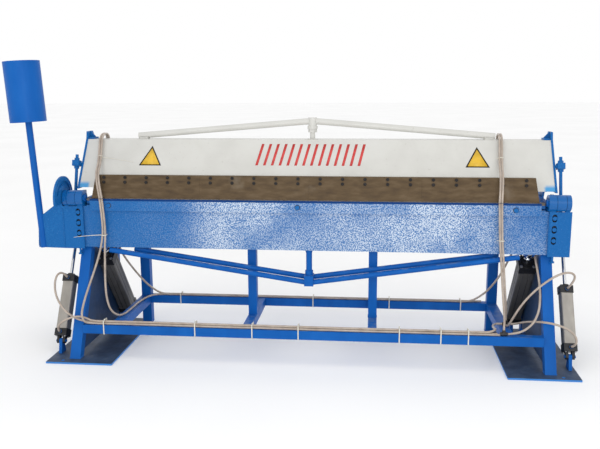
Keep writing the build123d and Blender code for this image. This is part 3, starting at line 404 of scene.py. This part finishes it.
def off_white():
    """Warm white enamel, with blue overspray at the beam's lower outer corners."""
    paint = Paint("off_white", coat=0.2)
    grime = paint.ramp(paint.noise(7, 5.0), [(0.3, (0.570, 0.564, 0.532)),
                                             (0.55, WHITE),
                                             (0.8, (0.628, 0.625, 0.596))])
    split = paint.add("ShaderNodeSeparateXYZ")
    paint.link(paint.place, split.inputs[0])
    outward = paint.step(paint.math("ABSOLUTE", split.outputs["X"]), *SPRAY_X)
    low = paint.math("SUBTRACT", 1.0, paint.step(split.outputs["Z"], *SPRAY_Z))
    corner = paint.math("MULTIPLY", outward, low)
    spray = paint.math("MULTIPLY", corner, paint.step(paint.noise(28, 4.0), 0.20, 0.38))
    tone = paint.mix(paint.math("MULTIPLY", spray, 0.95), grime, (0.02, 0.30, 0.64))
    wear = paint.math("MULTIPLY", paint.step(paint.noise(55, 4.0), 0.66, 0.74), 0.35)
    paint.colour(paint.mix(wear, tone, (0.42, 0.40, 0.36)))
    paint.rough(paint.noise(35), 0.34, 0.52)
    paint.bump(paint.noise(70, 3.0), 0.10, 0.0007)
    return paint.material


def oxide_steel():
    """Rolled tool steel with brown scale, streaks along X and rubbed patches."""
    paint = Paint("oxide_steel", metallic=0.55)
    streaks = paint.noise(26, 5.0, (0.5, 1, 1.6))
    tone = paint.ramp(streaks, [(0.25, (0.058, 0.036, 0.018)),
                                (0.5, (0.096, 0.062, 0.030)),
                                (0.75, (0.140, 0.096, 0.054))])
    rubbed = paint.step(paint.noise(5, 4.0), 0.60, 0.75)
    paint.colour(paint.mix(paint.math("MULTIPLY", rubbed, 0.5), tone, (0.24, 0.20, 0.15)))
    paint.rough(streaks, 0.42, 0.68)
    paint.bump(paint.noise(90, 4.0), 0.2, 0.0006)
    return paint.material


def bare_steel():
    """Ground steel along the top edge, with blue enamel on the face below it."""
    paint = Paint("bare_steel", metallic=0.6)
    grind = paint.noise(60, 3.0, (0.08, 1, 1))
    steel = paint.ramp(grind, [(0.3, (0.09, 0.07, 0.055)),
                               (0.6, (0.19, 0.165, 0.14)),
                               (0.8, (0.32, 0.30, 0.27))])
    bare = paint.step(paint.along((0, 0, JAW_PAINT_TOP), (0, 0, 1)), -0.001, 0.001)
    paint.colour(paint.mix(bare, BLUE_DEEP, steel))
    paint.rough(grind, 0.32, 0.5)
    paint.bump(grind, 0.12, 0.0004)
    return paint.material


def bolt_steel():
    paint = Paint("bolt_steel", metallic=0.85)
    paint.colour(paint.ramp(paint.noise(120, 3.0), [(0.3, (0.18, 0.18, 0.19)), (0.7, (0.46, 0.46, 0.47))]))
    paint.rough(paint.noise(90), 0.25, 0.45)
    return paint.material


def dark_steel():
    paint = Paint("black_screw", metallic=0.2, specular=0.2)
    paint.colour(paint.ramp(paint.noise(140, 3.0), [(0.3, (0.008, 0.008, 0.009)),
                                                    (0.75, (0.035, 0.030, 0.028))]))
    paint.rough(paint.noise(80), 0.35, 0.6)
    return paint.material


def chrome():
    paint = Paint("chrome_rod", metallic=1.0)
    paint.colour(paint.ramp(paint.noise(40, 2.0, (1, 1, 0.1)), [(0.3, (0.55, 0.56, 0.58)),
                                                                (0.7, (0.74, 0.75, 0.76))]))
    paint.rough(paint.noise(60), 0.08, 0.2)
    return paint.material


def cylinder_finish(name, foot, eye, body, cap, barrel):
    """Anodised profile with long grooves between black end caps."""
    paint = Paint(name, metallic=0.35)
    direction = (eye - foot).normalized()
    station = paint.along(foot, direction)
    in_cap = paint.math("MAXIMUM", paint.math("LESS_THAN", station, CAP_BASE + cap),
                        paint.math("GREATER_THAN", station, body - cap))
    drawn = paint.noise(30, 3.0, (1, 1, 0.1))
    skin = paint.ramp(drawn, [(0.3, tuple(0.8 * c for c in barrel)), (0.7, barrel)])
    black = paint.ramp(paint.noise(90), [(0.3, (0.010, 0.010, 0.012)), (0.7, (0.028, 0.028, 0.031))])
    paint.colour(paint.mix(in_cap, skin, black))
    paint.rough(paint.noise(70), 0.30, 0.48)
    paint.bump(drawn, 0.08, 0.0004)
    return paint.material


def hose_plastic():
    paint = Paint("hose", coat=0.15)
    paint.colour(paint.ramp(paint.noise(22, 4.0), [(0.3, (0.34, 0.275, 0.225)),
                                                   (0.55, (0.43, 0.360, 0.300)),
                                                   (0.8, (0.50, 0.430, 0.370))]))
    paint.rough(paint.noise(50), 0.28, 0.42)
    paint.shader.inputs["Subsurface Weight"].default_value = 0.08
    paint.shader.inputs["Subsurface Radius"].default_value = (0.004, 0.003, 0.002)
    return paint.material


def tie_nylon():
    paint = Paint("tie_plastic")
    paint.colour(paint.ramp(paint.noise(60), [(0.3, (0.62, 0.59, 0.50)), (0.7, (0.74, 0.72, 0.64))]))
    paint.rough(paint.noise(90), 0.3, 0.45)
    return paint.material


def moulded_black():
    paint = Paint("black_plastic")
    paint.colour(paint.ramp(paint.noise(80), [(0.3, (0.012, 0.012, 0.013)), (0.7, (0.030, 0.030, 0.032))]))
    paint.rough(paint.noise(120), 0.35, 0.5)
    paint.bump(paint.noise(400), 0.1, 0.0002)
    return paint.material


def plain_enamel(name, dark, light, roughness=0.4):
    """Small painted or printed mark with a little unevenness."""
    paint = Paint(name)
    paint.colour(paint.ramp(paint.noise(45, 4.0), [(0.3, dark), (0.7, light)]))
    paint.rough(paint.noise(60), roughness - 0.08, roughness + 0.08)
    return paint.material


def floor_pale():
    """Pale studio floor that glows a little, so that it has no horizon."""
    paint = Paint("floor_pale", specular=0.1)
    paint.colour(paint.ramp(paint.noise(0.6), [(0.3, (0.84, 0.84, 0.84)), (0.7, (0.88, 0.88, 0.88))]))
    paint.rough(paint.noise(8), 0.8, 0.9)
    paint.shader.inputs["Emission Color"].default_value = (1, 1, 1, 1)
    paint.shader.inputs["Emission Strength"].default_value = 0.10
    return paint.material


HAMMER = plain_hammertone()
KNUCKLE = knuckle_hammertone()
SHEEN = leaf_hammertone()
RING = plain_enamel("ring_blue", (0.02, 0.13, 0.42), (0.04, 0.20, 0.55))
TUBE = tube_blue()
SLATE = foot_slate()
NAVY = navy()
OFF_WHITE = off_white()
OXIDE = oxide_steel()
BARE = bare_steel()
BOLT = bolt_steel()
DARK = dark_steel()
CHROME = chrome()
CLAMP_SKIN = cylinder_finish("silver_cylinder", CLAMP_FOOT, CLAMP_EYE, CLAMP_BODY, CLAMP_CAP_LENGTH,
                             (0.37, 0.345, 0.31))
# The leaf cylinders' dark grey barrel is partly their anodised colour and partly painted shade from the
# leaf above and in front of them.
LEAF_SKIN = cylinder_finish("dark_cylinder", LEAF_FOOT, LEAF_EYE, LEAF_BODY, LEAF_CAP_LENGTH,
                            (0.140, 0.135, 0.130))
HOSE = hose_plastic()
TIE = tie_nylon()
BLACK = moulded_black()
YELLOW = plain_enamel("sticker_yellow", (0.70, 0.42, 0.02), (0.82, 0.52, 0.04))
RED = plain_enamel("mark_red", (0.52, 0.03, 0.03), (0.70, 0.06, 0.05))
# Near-black paint for painted shade in the cylinder grooves, in the end-plate slots and round the bar's
# bolt heads.
PAINTED_SHADE = plain_enamel("groove_shadow", (0.020, 0.020, 0.022), (0.045, 0.045, 0.048), 0.6)

FINISHES = {
    "blue_hammertone": HAMMER,
    "slate_floor_paint": SLATE,
    "panel_navy": NAVY,
    "off_white": OFF_WHITE,
    "bare_steel": BARE,
    "oxide_steel": OXIDE,
    "silver_cylinder": CLAMP_SKIN,
    "dark_cylinder": LEAF_SKIN,
    "chrome_rod": CHROME,
    "hose": HOSE,
    "black_plastic": BLACK,
    "tie_plastic": TIE,
    "black_screw": DARK,
}
TUBE_NODES = (
    "front_leg_left", "front_leg_right", "rear_legs", "head_rail_left", "head_rail_right", "front_rail",
    "rear_rail", "rear_top_rail", "cross_rails", "bed_posts", "bed_beam", "leaf_truss", "leaf_strut",
    "foot_lugs", "clamp_rocker_left", "clamp_rocker_right", "leaf_lugs", "counterweight",
    "counterweight_rod", "pivot_pins",
)
HAMMER_NODES = ("tie_rod_left", "tie_rod_right", "leaf_bolts")
KNUCKLE_NODES = ("leaf_end_left", "leaf_end_right", "hinge_bracket_left", "hinge_bracket_right")


def dress_nodes():
    """Gives every CAD node its finish."""
    slots = {item["node"]: item["material_slot"] for item in frame["record"]["subparts"]}
    for name, node in nodes.items():
        finish = TUBE if name in TUBE_NODES else FINISHES[slots[name]]
        if name in HAMMER_NODES:
            finish = HAMMER
        if name in KNUCKLE_NODES:
            finish = KNUCKLE
        # The leaf plate and bending bar take the paint with the painted sheen.
        if name in ("leaf_plate", "bending_bar"):
            finish = SHEEN
        node.data.materials.clear()
        node.data.materials.append(finish)


# ---- mesh helpers ----------------------------------------------------------
def piece(name, mesh_data, material, body, soften=0.0):
    """Object from a bmesh, dressed and riding on a body; soften rounds its edges."""
    mesh = bpy.data.meshes.new(name)
    mesh_data.to_mesh(mesh)
    mesh_data.free()
    obj = bpy.data.objects.new(name, mesh)
    bpy.context.collection.objects.link(obj)
    mesh.materials.append(material)
    for face in mesh.polygons:
        face.use_smooth = True
    if soften:
        bevel = obj.modifiers.new("round", "BEVEL")
        bevel.width = soften
        bevel.segments = 2
        bevel.limit_method = "ANGLE"
    if body:
        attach(obj, body)
    return obj


def ring_frame(path, index):
    """Two directions square to a path at one of its points."""
    before = path[max(index - 1, 0)]
    after = path[min(index + 1, len(path) - 1)]
    forward = (after - before).normalized()
    side = forward.cross(Vector((0.03, 0.05, 1.0)))
    if side.length < 0.05:
        side = forward.cross(Vector((1, 0, 0)))
    side.normalize()
    return side, side.cross(forward)


def sweep(mesh, path, radii, segments=14):
    """Closed round tube along a path, with one radius for each point."""
    rings = []
    side, up = ring_frame(path, 0)
    for index, (point, radius) in enumerate(zip(path, radii)):
        before = path[max(index - 1, 0)]
        after = path[min(index + 1, len(path) - 1)]
        forward = (after - before).normalized()
        side = (side - forward * side.dot(forward)).normalized()
        up = side.cross(forward)
        ring = []
        for step in range(segments):
            angle = 2 * math.pi * step / segments
            offset = side * math.cos(angle) + up * math.sin(angle)
            ring.append(mesh.verts.new(point + offset * radius))
        rings.append(ring)
    for low, high in zip(rings, rings[1:]):
        for step in range(segments):
            after = (step + 1) % segments
            mesh.faces.new((low[step], low[after], high[after], high[step]))
    mesh.faces.new(list(reversed(rings[0])))
    mesh.faces.new(rings[-1])


def add_block(mesh, centre, axes, sizes):
    """Box round centre; axes are its three directions and sizes its full lengths."""
    matrix = Matrix.Translation(centre) @ Matrix([[*row] for row in zip(*axes)]).to_4x4()
    made = bmesh.ops.create_cube(mesh, size=1.0, matrix=Matrix.Identity(4))
    for vertex in made["verts"]:
        vertex.co = matrix @ Vector([c * s for c, s in zip(vertex.co, sizes)])


def add_disc(mesh, centre, axis, radius, height, segments=24):
    """Short round or many-sided bar that starts at centre and grows along axis."""
    turn = axis.to_track_quat("Z", "Y").to_matrix().to_4x4()
    matrix = Matrix.Translation(centre + axis * height / 2) @ turn
    bmesh.ops.create_cone(mesh, cap_ends=True, segments=segments, radius1=radius, radius2=radius,
                          depth=height, matrix=matrix)


# ---- hoses -----------------------------------------------------------------
def smooth_path(name, points):
    """Line of the NURBS spline whose control points are the route's points."""
    curve = bpy.data.curves.new(name, "CURVE")
    curve.dimensions = "3D"
    curve.resolution_u = 10
    spline = curve.splines.new("NURBS")
    spline.points.add(len(points) - 1)
    for control, point in zip(spline.points, points):
        control.co = (*point, 1)
    spline.order_u = 3
    spline.use_endpoint_u = True
    carrier = bpy.data.objects.new(name, curve)
    mesh = bpy.data.meshes.new_from_object(carrier)
    path = [vertex.co.copy() for vertex in mesh.vertices]
    bpy.data.objects.remove(carrier)
    bpy.data.curves.remove(curve)
    bpy.data.meshes.remove(mesh)
    return path


def hose(name, points):
    """One hose along its route, from the frame at start to another body at end."""
    path = smooth_path(name, points)
    mesh = bmesh.new()
    sweep(mesh, path, [HOSE_D / 2] * len(path), 16)
    made = piece(name, mesh, HOSE, None)
    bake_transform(made)
    return made


def upper_hoses():
    """Pairs from the rear sockets over the beam to the fold line; both ends stay with the frame."""
    made = []
    for side, route, length in (("left", LEFT_UPPER, 0.927), ("right", RIGHT_UPPER, 0.922)):
        for index in (0, 1):
            points = upper_route(route, index * HOSE_PITCH)
            made.append(hose(f"hose_upper_{side}_{index + 1}", points))
    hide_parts("upper_drapes")
    return made


def lower_hoses():
    """The same hoses from the fold line down past the leaf."""
    routes = (
        ("left_front", LEFT_LOWER_FRONT, 0.802),
        ("left_rear", LEFT_LOWER_REAR, 1.261),
        ("right_front", RIGHT_LOWER_FRONT, 0.727),
        ("right_rear", RIGHT_LOWER_REAR, 0.679),
    )
    made = []
    for name, route, length in routes:
        made.append(hose(f"hose_lower_{name}", route))
    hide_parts("lower_drapes")
    return made


def cylinder_hoses():
    """Loops from rails and tees to the ports of the four cylinders."""
    routes = (
        ("clamp_left_top", LEFT_CAP_TOP, 0.518, "clamp_cylinder_left"),
        ("clamp_left_bottom", LEFT_CAP_BOTTOM, 0.293, "clamp_cylinder_left"),
        ("clamp_right_top", RIGHT_CAP_TOP, 0.640, "clamp_cylinder_right"),
        ("clamp_right_bottom", RIGHT_CAP_BOTTOM, 0.503, "clamp_cylinder_right"),
        ("leaf_right_front", RIGHT_LEAF_FRONT, 0.916, "leaf_cylinder_right"),
        ("leaf_right_rear", RIGHT_LEAF_REAR, 0.623, "leaf_cylinder_right"),
        ("leaf_left_rear", LEFT_LEAF_REAR, 0.613, "leaf_cylinder_left"),
    )
    made = []
    for name, route, length, body in routes:
        ends = [Vector(route[0]), Vector(route[-1])]
        if abs(ends[0].x) > abs(ends[1].x):
            ends.reverse()
        made.append(hose(f"hose_{name}", route))
    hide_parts("cylinder_hoses")
    return made


# ---- ties ------------------------------------------------------------------
def band(mesh, centre, forward, half_wide, half_deep):
    """Tie round a pair of hoses: a flat loop square to forward."""
    side = Vector((1, 0, 0))
    side = (side - forward * side.dot(forward)).normalized()
    deep = forward.cross(side)
    count = 20
    inner, outer = [], []
    for step in range(count):
        angle = 2 * math.pi * step / count
        shape = side * math.cos(angle) * half_wide + deep * math.sin(angle) * half_deep
        rim = side * math.cos(angle) + deep * math.sin(angle)
        for thick, rows in ((0.0, inner), (0.0014, outer)):
            low = mesh.verts.new(centre + shape + rim * thick - forward * 0.0025)
            high = mesh.verts.new(centre + shape + rim * thick + forward * 0.0025)
            rows.append((low, high))
    for step in range(count):
        after = (step + 1) % count
        mesh.faces.new((outer[step][0], outer[after][0], outer[after][1], outer[step][1]))
        mesh.faces.new((inner[after][0], inner[step][0], inner[step][1], inner[after][1]))
        mesh.faces.new((inner[step][0], inner[after][0], outer[after][0], outer[step][0]))
        mesh.faces.new((outer[step][1], outer[after][1], inner[after][1], inner[step][1]))


def tail(mesh, start, direction, length, droop):
    """Loose end of a tie: a thin strip that curls down."""
    rows = []
    steps = 8
    for step in range(steps + 1):
        share = step / steps
        point = start + direction * length * share - Vector((0, 0, droop * share * share))
        half = 0.0022 * (1 - 0.5 * share)
        rows.append([mesh.verts.new(point + Vector(offset)) for offset in
                     ((0, -0.0006, half), (0, -0.0006, -half), (0, 0.0006, -half), (0, 0.0006, half))])
    for low, high in zip(rows, rows[1:]):
        for step in range(4):
            after = (step + 1) % 4
            mesh.faces.new((low[step], low[after], high[after], high[step]))
    mesh.faces.new(rows[0])
    mesh.faces.new(list(reversed(rows[-1])))


def drape_tie(name, centre, forward, tails, body):
    mesh = bmesh.new()
    band(mesh, centre, forward, HOSE_D / 2 + HOSE_PITCH / 2 + 0.0015, HOSE_D / 2 + 0.0015)
    head = centre + forward.cross(AXES[0]).normalized() * (-HOSE_D / 2 - 0.003)
    add_block(mesh, head, AXES, (0.007, 0.005, 0.007))
    for direction, length, droop in tails:
        tail(mesh, head, Vector(direction).normalized(), length, droop)
    return piece(name, mesh, TIE, body)


def drape_ties():
    """Ties round the two drapes, above and below the fold line."""
    down = Vector((0, 0, -1))
    lean = Vector((0, -0.66, -0.75)).normalized()
    drape_tie("tie_left_high", Vector((-1.2500, 0.047, 1.124)), lean, [((1, -0.35, -0.05), 0.24, 0.01)],
              "clamp_beam")
    drape_tie("tie_right_high", Vector((1.0655, 0.047, 1.124)), lean, [((-0.8, -0.2, 0.2), 0.03, 0.0)],
              "clamp_beam")
    drape_tie("tie_left_low", Vector((-1.1850, -0.1285, 0.685)), down,
              [((-1, -0.1, -0.02), 0.18, 0.01), ((1, -0.2, 0.25), 0.02, 0.0)], "leaf")
    drape_tie("tie_right_low", Vector((1.0610, -0.1290, 0.690)), down, [((-1, -0.2, 0.3), 0.03, 0.01)],
              "leaf")


def rail_tie_heads():
    """Heads and clipped tails on the ties round the front rail."""
    mesh = bmesh.new()
    for index, x in enumerate(FRONT_TIE_X):
        head = Vector((x, -0.264, 0.2225))
        add_block(mesh, head, AXES, (0.008, 0.008, 0.005))
        lean = -1 if index % 2 else 1
        reach = 0.008 + 0.006 * (index % 3)
        tail(mesh, head, Vector((0.4 * lean, -0.2, 0.9)).normalized(), reach, 0.002)
    return piece("rail_tie_heads", mesh, TIE, "root")


# ---- cylinder details ------------------------------------------------------
def cylinder_axes(foot, eye):
    up = (eye - foot).normalized()
    across = Vector((1, 0, 0))
    return across, across.cross(up) * -1, up


def cap_screws(name, x, foot, eye, length, half, radius, body):
    """Four tie-bolt heads on each outer face of the two end caps."""
    across, depth, up = cylinder_axes(foot, eye)
    base = Vector((x, foot.y, foot.z))
    mesh = bmesh.new()
    for station, outward in ((length, 1), (CAP_BASE, -1)):
        for u in (-1, 1):
            for v in (-1, 1):
                seat = base + up * station + across * u * half + depth * v * half
                add_disc(mesh, seat, up * outward, radius, 0.005, 20)
                add_disc(mesh, seat + up * outward * 0.005, up * outward, radius * 0.55, 0.0015, 6)
    return piece(name, mesh, BOLT, body, 0.0006)


def profile_grooves(name, x, foot, eye, length, cap, half, offset, body):
    """Long dark strips along the sensor grooves on the four faces of a cylinder's barrel: painted shade in
    the grooves.
    """
    across, depth, up = cylinder_axes(foot, eye)
    low, high = CAP_BASE + cap + 0.001, length - cap - 0.001
    centre = Vector((x, foot.y, foot.z)) + up * (low + high) / 2
    mesh = bmesh.new()
    for out, side in ((across, depth), (-across, depth), (depth, across), (-depth, across)):
        for sign in (-1, 1):
            spot = centre + out * half + side * sign * offset
            add_block(mesh, spot, (out, side, up), (0.0006, 0.004, high - low))
    return piece(name, mesh, PAINTED_SHADE, body)


def port_rings(name, x, foot, eye, fittings, half, body):
    """Blue release rings where hoses enter the ports.

    Each fitting is its distance across the cap, its side and its distance from the foot pin.
    """
    across, depth, up = cylinder_axes(foot, eye)
    base = Vector((x, foot.y, foot.z))
    mesh = bmesh.new()
    for offset, side, station in fittings:
        mouth = base + across * offset + depth * side * (half + PORT_REACH - 0.005) + up * station
        add_disc(mesh, mouth, depth * side, 0.0098, 0.0045, 24)
    return piece(name, mesh, RING, body, 0.0008)


def cylinder_details():
    clamp_ports = [(0, -1, CAP_BASE + CLAMP_CAP_LENGTH / 2), (0, -1, CLAMP_BODY - CLAMP_CAP_LENGTH / 2)]
    leaf_station = LEAF_BODY - LEAF_CAP_LENGTH / 2
    leaf_ports = [(-PORT_SPREAD, 1, leaf_station), (PORT_SPREAD, 1, leaf_station)]
    for side, sign in SIDES:
        clamp = (sign * CLAMP_X, CLAMP_FOOT, CLAMP_EYE)
        leaf = (sign * LEAF_X, LEAF_FOOT, LEAF_EYE)
        body = f"clamp_cylinder_{side}"
        cap_screws(f"clamp_cap_screws_{side}", *clamp, CLAMP_BODY, CLAMP_SCREW_OFFSET, CLAMP_SCREW_RADIUS,
                   body)
        port_rings(f"clamp_port_rings_{side}", *clamp, clamp_ports, CLAMP_CAP / 2, body)
        body = f"leaf_cylinder_{side}"
        cap_screws(f"leaf_cap_screws_{side}", *leaf, LEAF_BODY, LEAF_SCREW_OFFSET, LEAF_SCREW_RADIUS, body)
        port_rings(f"leaf_port_rings_{side}", *leaf, leaf_ports, LEAF_CAP / 2, body)
        profile_grooves(f"leaf_grooves_{side}", *leaf, LEAF_BODY, LEAF_CAP_LENGTH, LEAF_BARREL_HALF,
                        GROOVE_OFFSET, body)


# ---- welds -----------------------------------------------------------------
def weld(mesh, start, end, radius=0.0035):
    """Uneven bead along a straight joint."""
    start, end = Vector(start), Vector(end)
    count = max(6, int((end - start).length / 0.004))
    path = [start.lerp(end, step / count) for step in range(count + 1)]
    radii = []
    for index, point in enumerate(path):
        ripple = 0.16 * math.sin(index * 1.9)
        uneven = 0.28 * noise.noise(point * 90)
        taper = 0.4 if index in (0, count) else 1.0
        radii.append(radius * taper * (1 + ripple + uneven))
    sweep(mesh, path, radii, 8)


def leaf_welds():
    """Beads under the knuckles, along the weight's arm and at the strut."""
    mesh = bmesh.new()
    for _, sign in SIDES:
        for x0, x1 in ((1.312, 1.341), (1.393, 1.417)):
            weld(mesh, (sign * x0, -0.1142, 0.855), (sign * x1, -0.1142, 0.855))
        weld(mesh, (sign * 1.311, -0.1142, 0.612), (sign * 1.311, -0.1142, 0.835), 0.003)
        weld(mesh, (sign * 1.150, -0.086, 0.6075), (sign * 1.175, -0.086, 0.6075))
    weld(mesh, (-1.5860, -0.1135, 0.612), (-1.5750, -0.1135, 0.790), 0.004)
    weld(mesh, (-1.429, -0.1142, 0.606), (-1.429, -0.1142, 0.838), 0.003)
    weld(mesh, (-0.022, -0.0850, 0.6075), (0.022, -0.0850, 0.6075), 0.004)
    return piece("leaf_welds", mesh, HAMMER, "leaf")


def frame_welds():
    """Beads round the tube joints of the standing frame."""
    mesh = bmesh.new()
    for _, sign in SIDES:
        for z in (0.1435, 0.1925):
            weld(mesh, (sign * 1.281, -0.285, z), (sign * 1.281, -0.237, z))
        for x in (1.284, 1.342):
            weld(mesh, (sign * x, -0.343, 0.0115), (sign * x, -0.292, 0.0115), 0.004)
        for x in (1.071, 1.129, 1.284, 1.342):
            weld(mesh, (sign * x, 0.326, 0.0115), (sign * x, 0.372, 0.0115), 0.004)
        for z in (0.802, 0.878):
            weld(mesh, (sign * 1.345, -0.046, z), (sign * 1.345, 0.03, z), 0.002)
    for x in POST_X:
        for edge in (-0.024, 0.024):
            weld(mesh, (x + edge, -0.0095, 0.1945), (x + edge, 0.040, 0.1945), 0.003)
        weld(mesh, (x - 0.024, -0.0095, 0.1945), (x + 0.024, -0.0095, 0.1945), 0.003)
    return piece("frame_welds", mesh, TUBE, "root")


def beam_welds():
    mesh = bmesh.new()
    for _, sign in SIDES:
        weld(mesh, (sign * 0.985, 0.152, 1.2275), (sign * 1.040, 0.152, 1.2275), 0.004)
        weld(mesh, (sign * 0.985, 0.192, 1.2275), (sign * 1.040, 0.192, 1.2275), 0.004)
    weld(mesh, (-0.03, 0.150, 1.2195), (0.03, 0.150, 1.2195), 0.004)
    return piece("beam_welds", mesh, OFF_WHITE, "clamp_beam")


# ---- end plates and strip --------------------------------------------------
def slot_shade_liners():
    """Dark sheets at the bottom of the upright slots in the end plates: painted shade in the slots."""
    mesh = bmesh.new()
    for _, sign in SIDES:
        for z in (0.691, 0.753, 0.815):
            add_block(mesh, Vector((sign * 1.339, -0.1026, z)), AXES, (0.0258, 0.0004, 0.0430))
    return piece("slot_shade_sheets", mesh, PAINTED_SHADE, "leaf")


def bar_bolt_shadow_rims():
    """Dark discs round the three bolt heads on the bending bar: painted shadow in the gaps round them."""
    mesh = bmesh.new()
    front = Vector((0, -1, 0))
    for x in BAR_BOLT_X:
        add_disc(mesh, Vector((x, BAR_FRONT, BAR_BOLT_Z)), front, 0.0155, 0.0006, 28)
    return piece("bar_bolt_shadow_rims", mesh, PAINTED_SHADE, "leaf")


# ---- plain marks -----------------------------------------------------------
def skin_point(x, up, out=0.0):
    point = SKIN_LOW + SKIN_UP * up + SKIN_OUT * out
    return Vector((x, point.y, point.z))


def skin_polygon(name, corners, out, material):
    """Thin film on the beam's skin; corners are (x, distance up the skin)."""
    mesh = bmesh.new()
    faces = [[mesh.verts.new(skin_point(x, up, height)) for x, up in corners] for height in (out, 0.0001)]
    mesh.faces.new(faces[0])
    mesh.faces.new(list(reversed(faces[1])))
    for index in range(len(corners)):
        after = (index + 1) % len(corners)
        mesh.faces.new((faces[0][after], faces[0][index], faces[1][index], faces[1][after]))
    bmesh.ops.recalc_face_normals(mesh, faces=mesh.faces[:])
    return piece(name, mesh, material, "clamp_beam")


def triangle_plates():
    """Plain yellow triangles with a dark rim, where the beam carries stickers."""
    low, high, half, rim = 0.145, 0.275, 0.067, 0.012
    for name, x in (("left", -0.947), ("right", 0.939)):
        outline = ((x - half, low), (x + half, low), (x, high))
        inner = ((x - half + rim, low + 0.007), (x + half - rim, low + 0.007), (x, high - 0.016))
        skin_polygon(f"triangle_rim_{name}", outline, 0.0006, DARK)
        skin_polygon(f"triangle_{name}", inner, 0.0010, YELLOW)


def red_marks():
    """A plain row of slanted strokes in place of the painted wording."""
    count = 14
    first, last = -0.300, 0.290
    for index in range(count):
        x = first + (last - first) * index / (count - 1)
        slant, half = 0.030, 0.0075
        corners = ((x - half - slant / 2, 0.150), (x + half - slant / 2, 0.150),
                   (x + half + slant / 2, 0.290), (x - half + slant / 2, 0.290))
        skin_polygon(f"red_stroke_{index + 1}", corners, 0.0006, RED)


# ---- floor, light, camera --------------------------------------------------
CAMERA_PLACE = (0.3556, -4.0513, 1.5296)
CAMERA_TURN = (5.851, 79.021, -0.274)
CAMERA_LENS = 43.05


def floor():
    mesh = bmesh.new()
    half = 60.0
    outline = ((-half, -half), (half, -half), (half, half), (-half, half))
    mesh.faces.new([mesh.verts.new((x, y, -0.0005)) for x, y in outline])
    made = piece("floor", mesh, floor_pale(), None)


def area_light(name, place, size, power):
    light = bpy.data.lights.new(name, "AREA")
    light.size = size
    light.energy = power
    obj = bpy.data.objects.new(name, light)
    bpy.context.collection.objects.link(obj)
    obj.location = place
    aim = Vector((0, 0, 0.7)) - Vector(place)
    obj.rotation_euler = aim.to_track_quat("-Z", "Y").to_euler()


def lights():
    world = bpy.data.worlds.new("studio")
    world.use_nodes = True
    back = world.node_tree.nodes["Background"]
    back.inputs["Color"].default_value = (1, 1, 1, 1)
    back.inputs["Strength"].default_value = 1.0
    bpy.context.scene.world = world
    area_light("key", (-1.6, -4.6, 2.6), 1.6, 18)
    area_light("fill", (2.8, -3.6, 2.2), 2.2, 14)
    area_light("front", (0.4, -4.3, 1.6), 0.5, 16)
    area_light("low", (0.8, -5.3, 0.40), 2.2, 16)
    bpy.context.scene.view_settings.view_transform = "Standard"


def camera():
    data = bpy.data.cameras.new("camera")
    data.lens = CAMERA_LENS
    data.sensor_width = 36.0
    obj = bpy.data.objects.new("camera", data)
    bpy.context.collection.objects.link(obj)
    pan = Matrix.Rotation(math.radians(CAMERA_TURN[0]), 4, "Z")
    tilt = Matrix.Rotation(math.radians(CAMERA_TURN[1]), 4, "X")
    roll = Matrix.Rotation(math.radians(CAMERA_TURN[2]), 4, "Z")
    obj.matrix_world = Matrix.Translation(CAMERA_PLACE) @ pan @ tilt @ roll
    bpy.context.scene.camera = obj


camera()
lights()
floor()
dress_nodes()
upper_hoses()
lower_hoses()
cylinder_hoses()
drape_ties()
rail_tie_heads()
cylinder_details()
leaf_welds()
frame_welds()
beam_welds()
slot_shade_liners()
bar_bolt_shadow_rims()
triangle_plates()
red_marks()
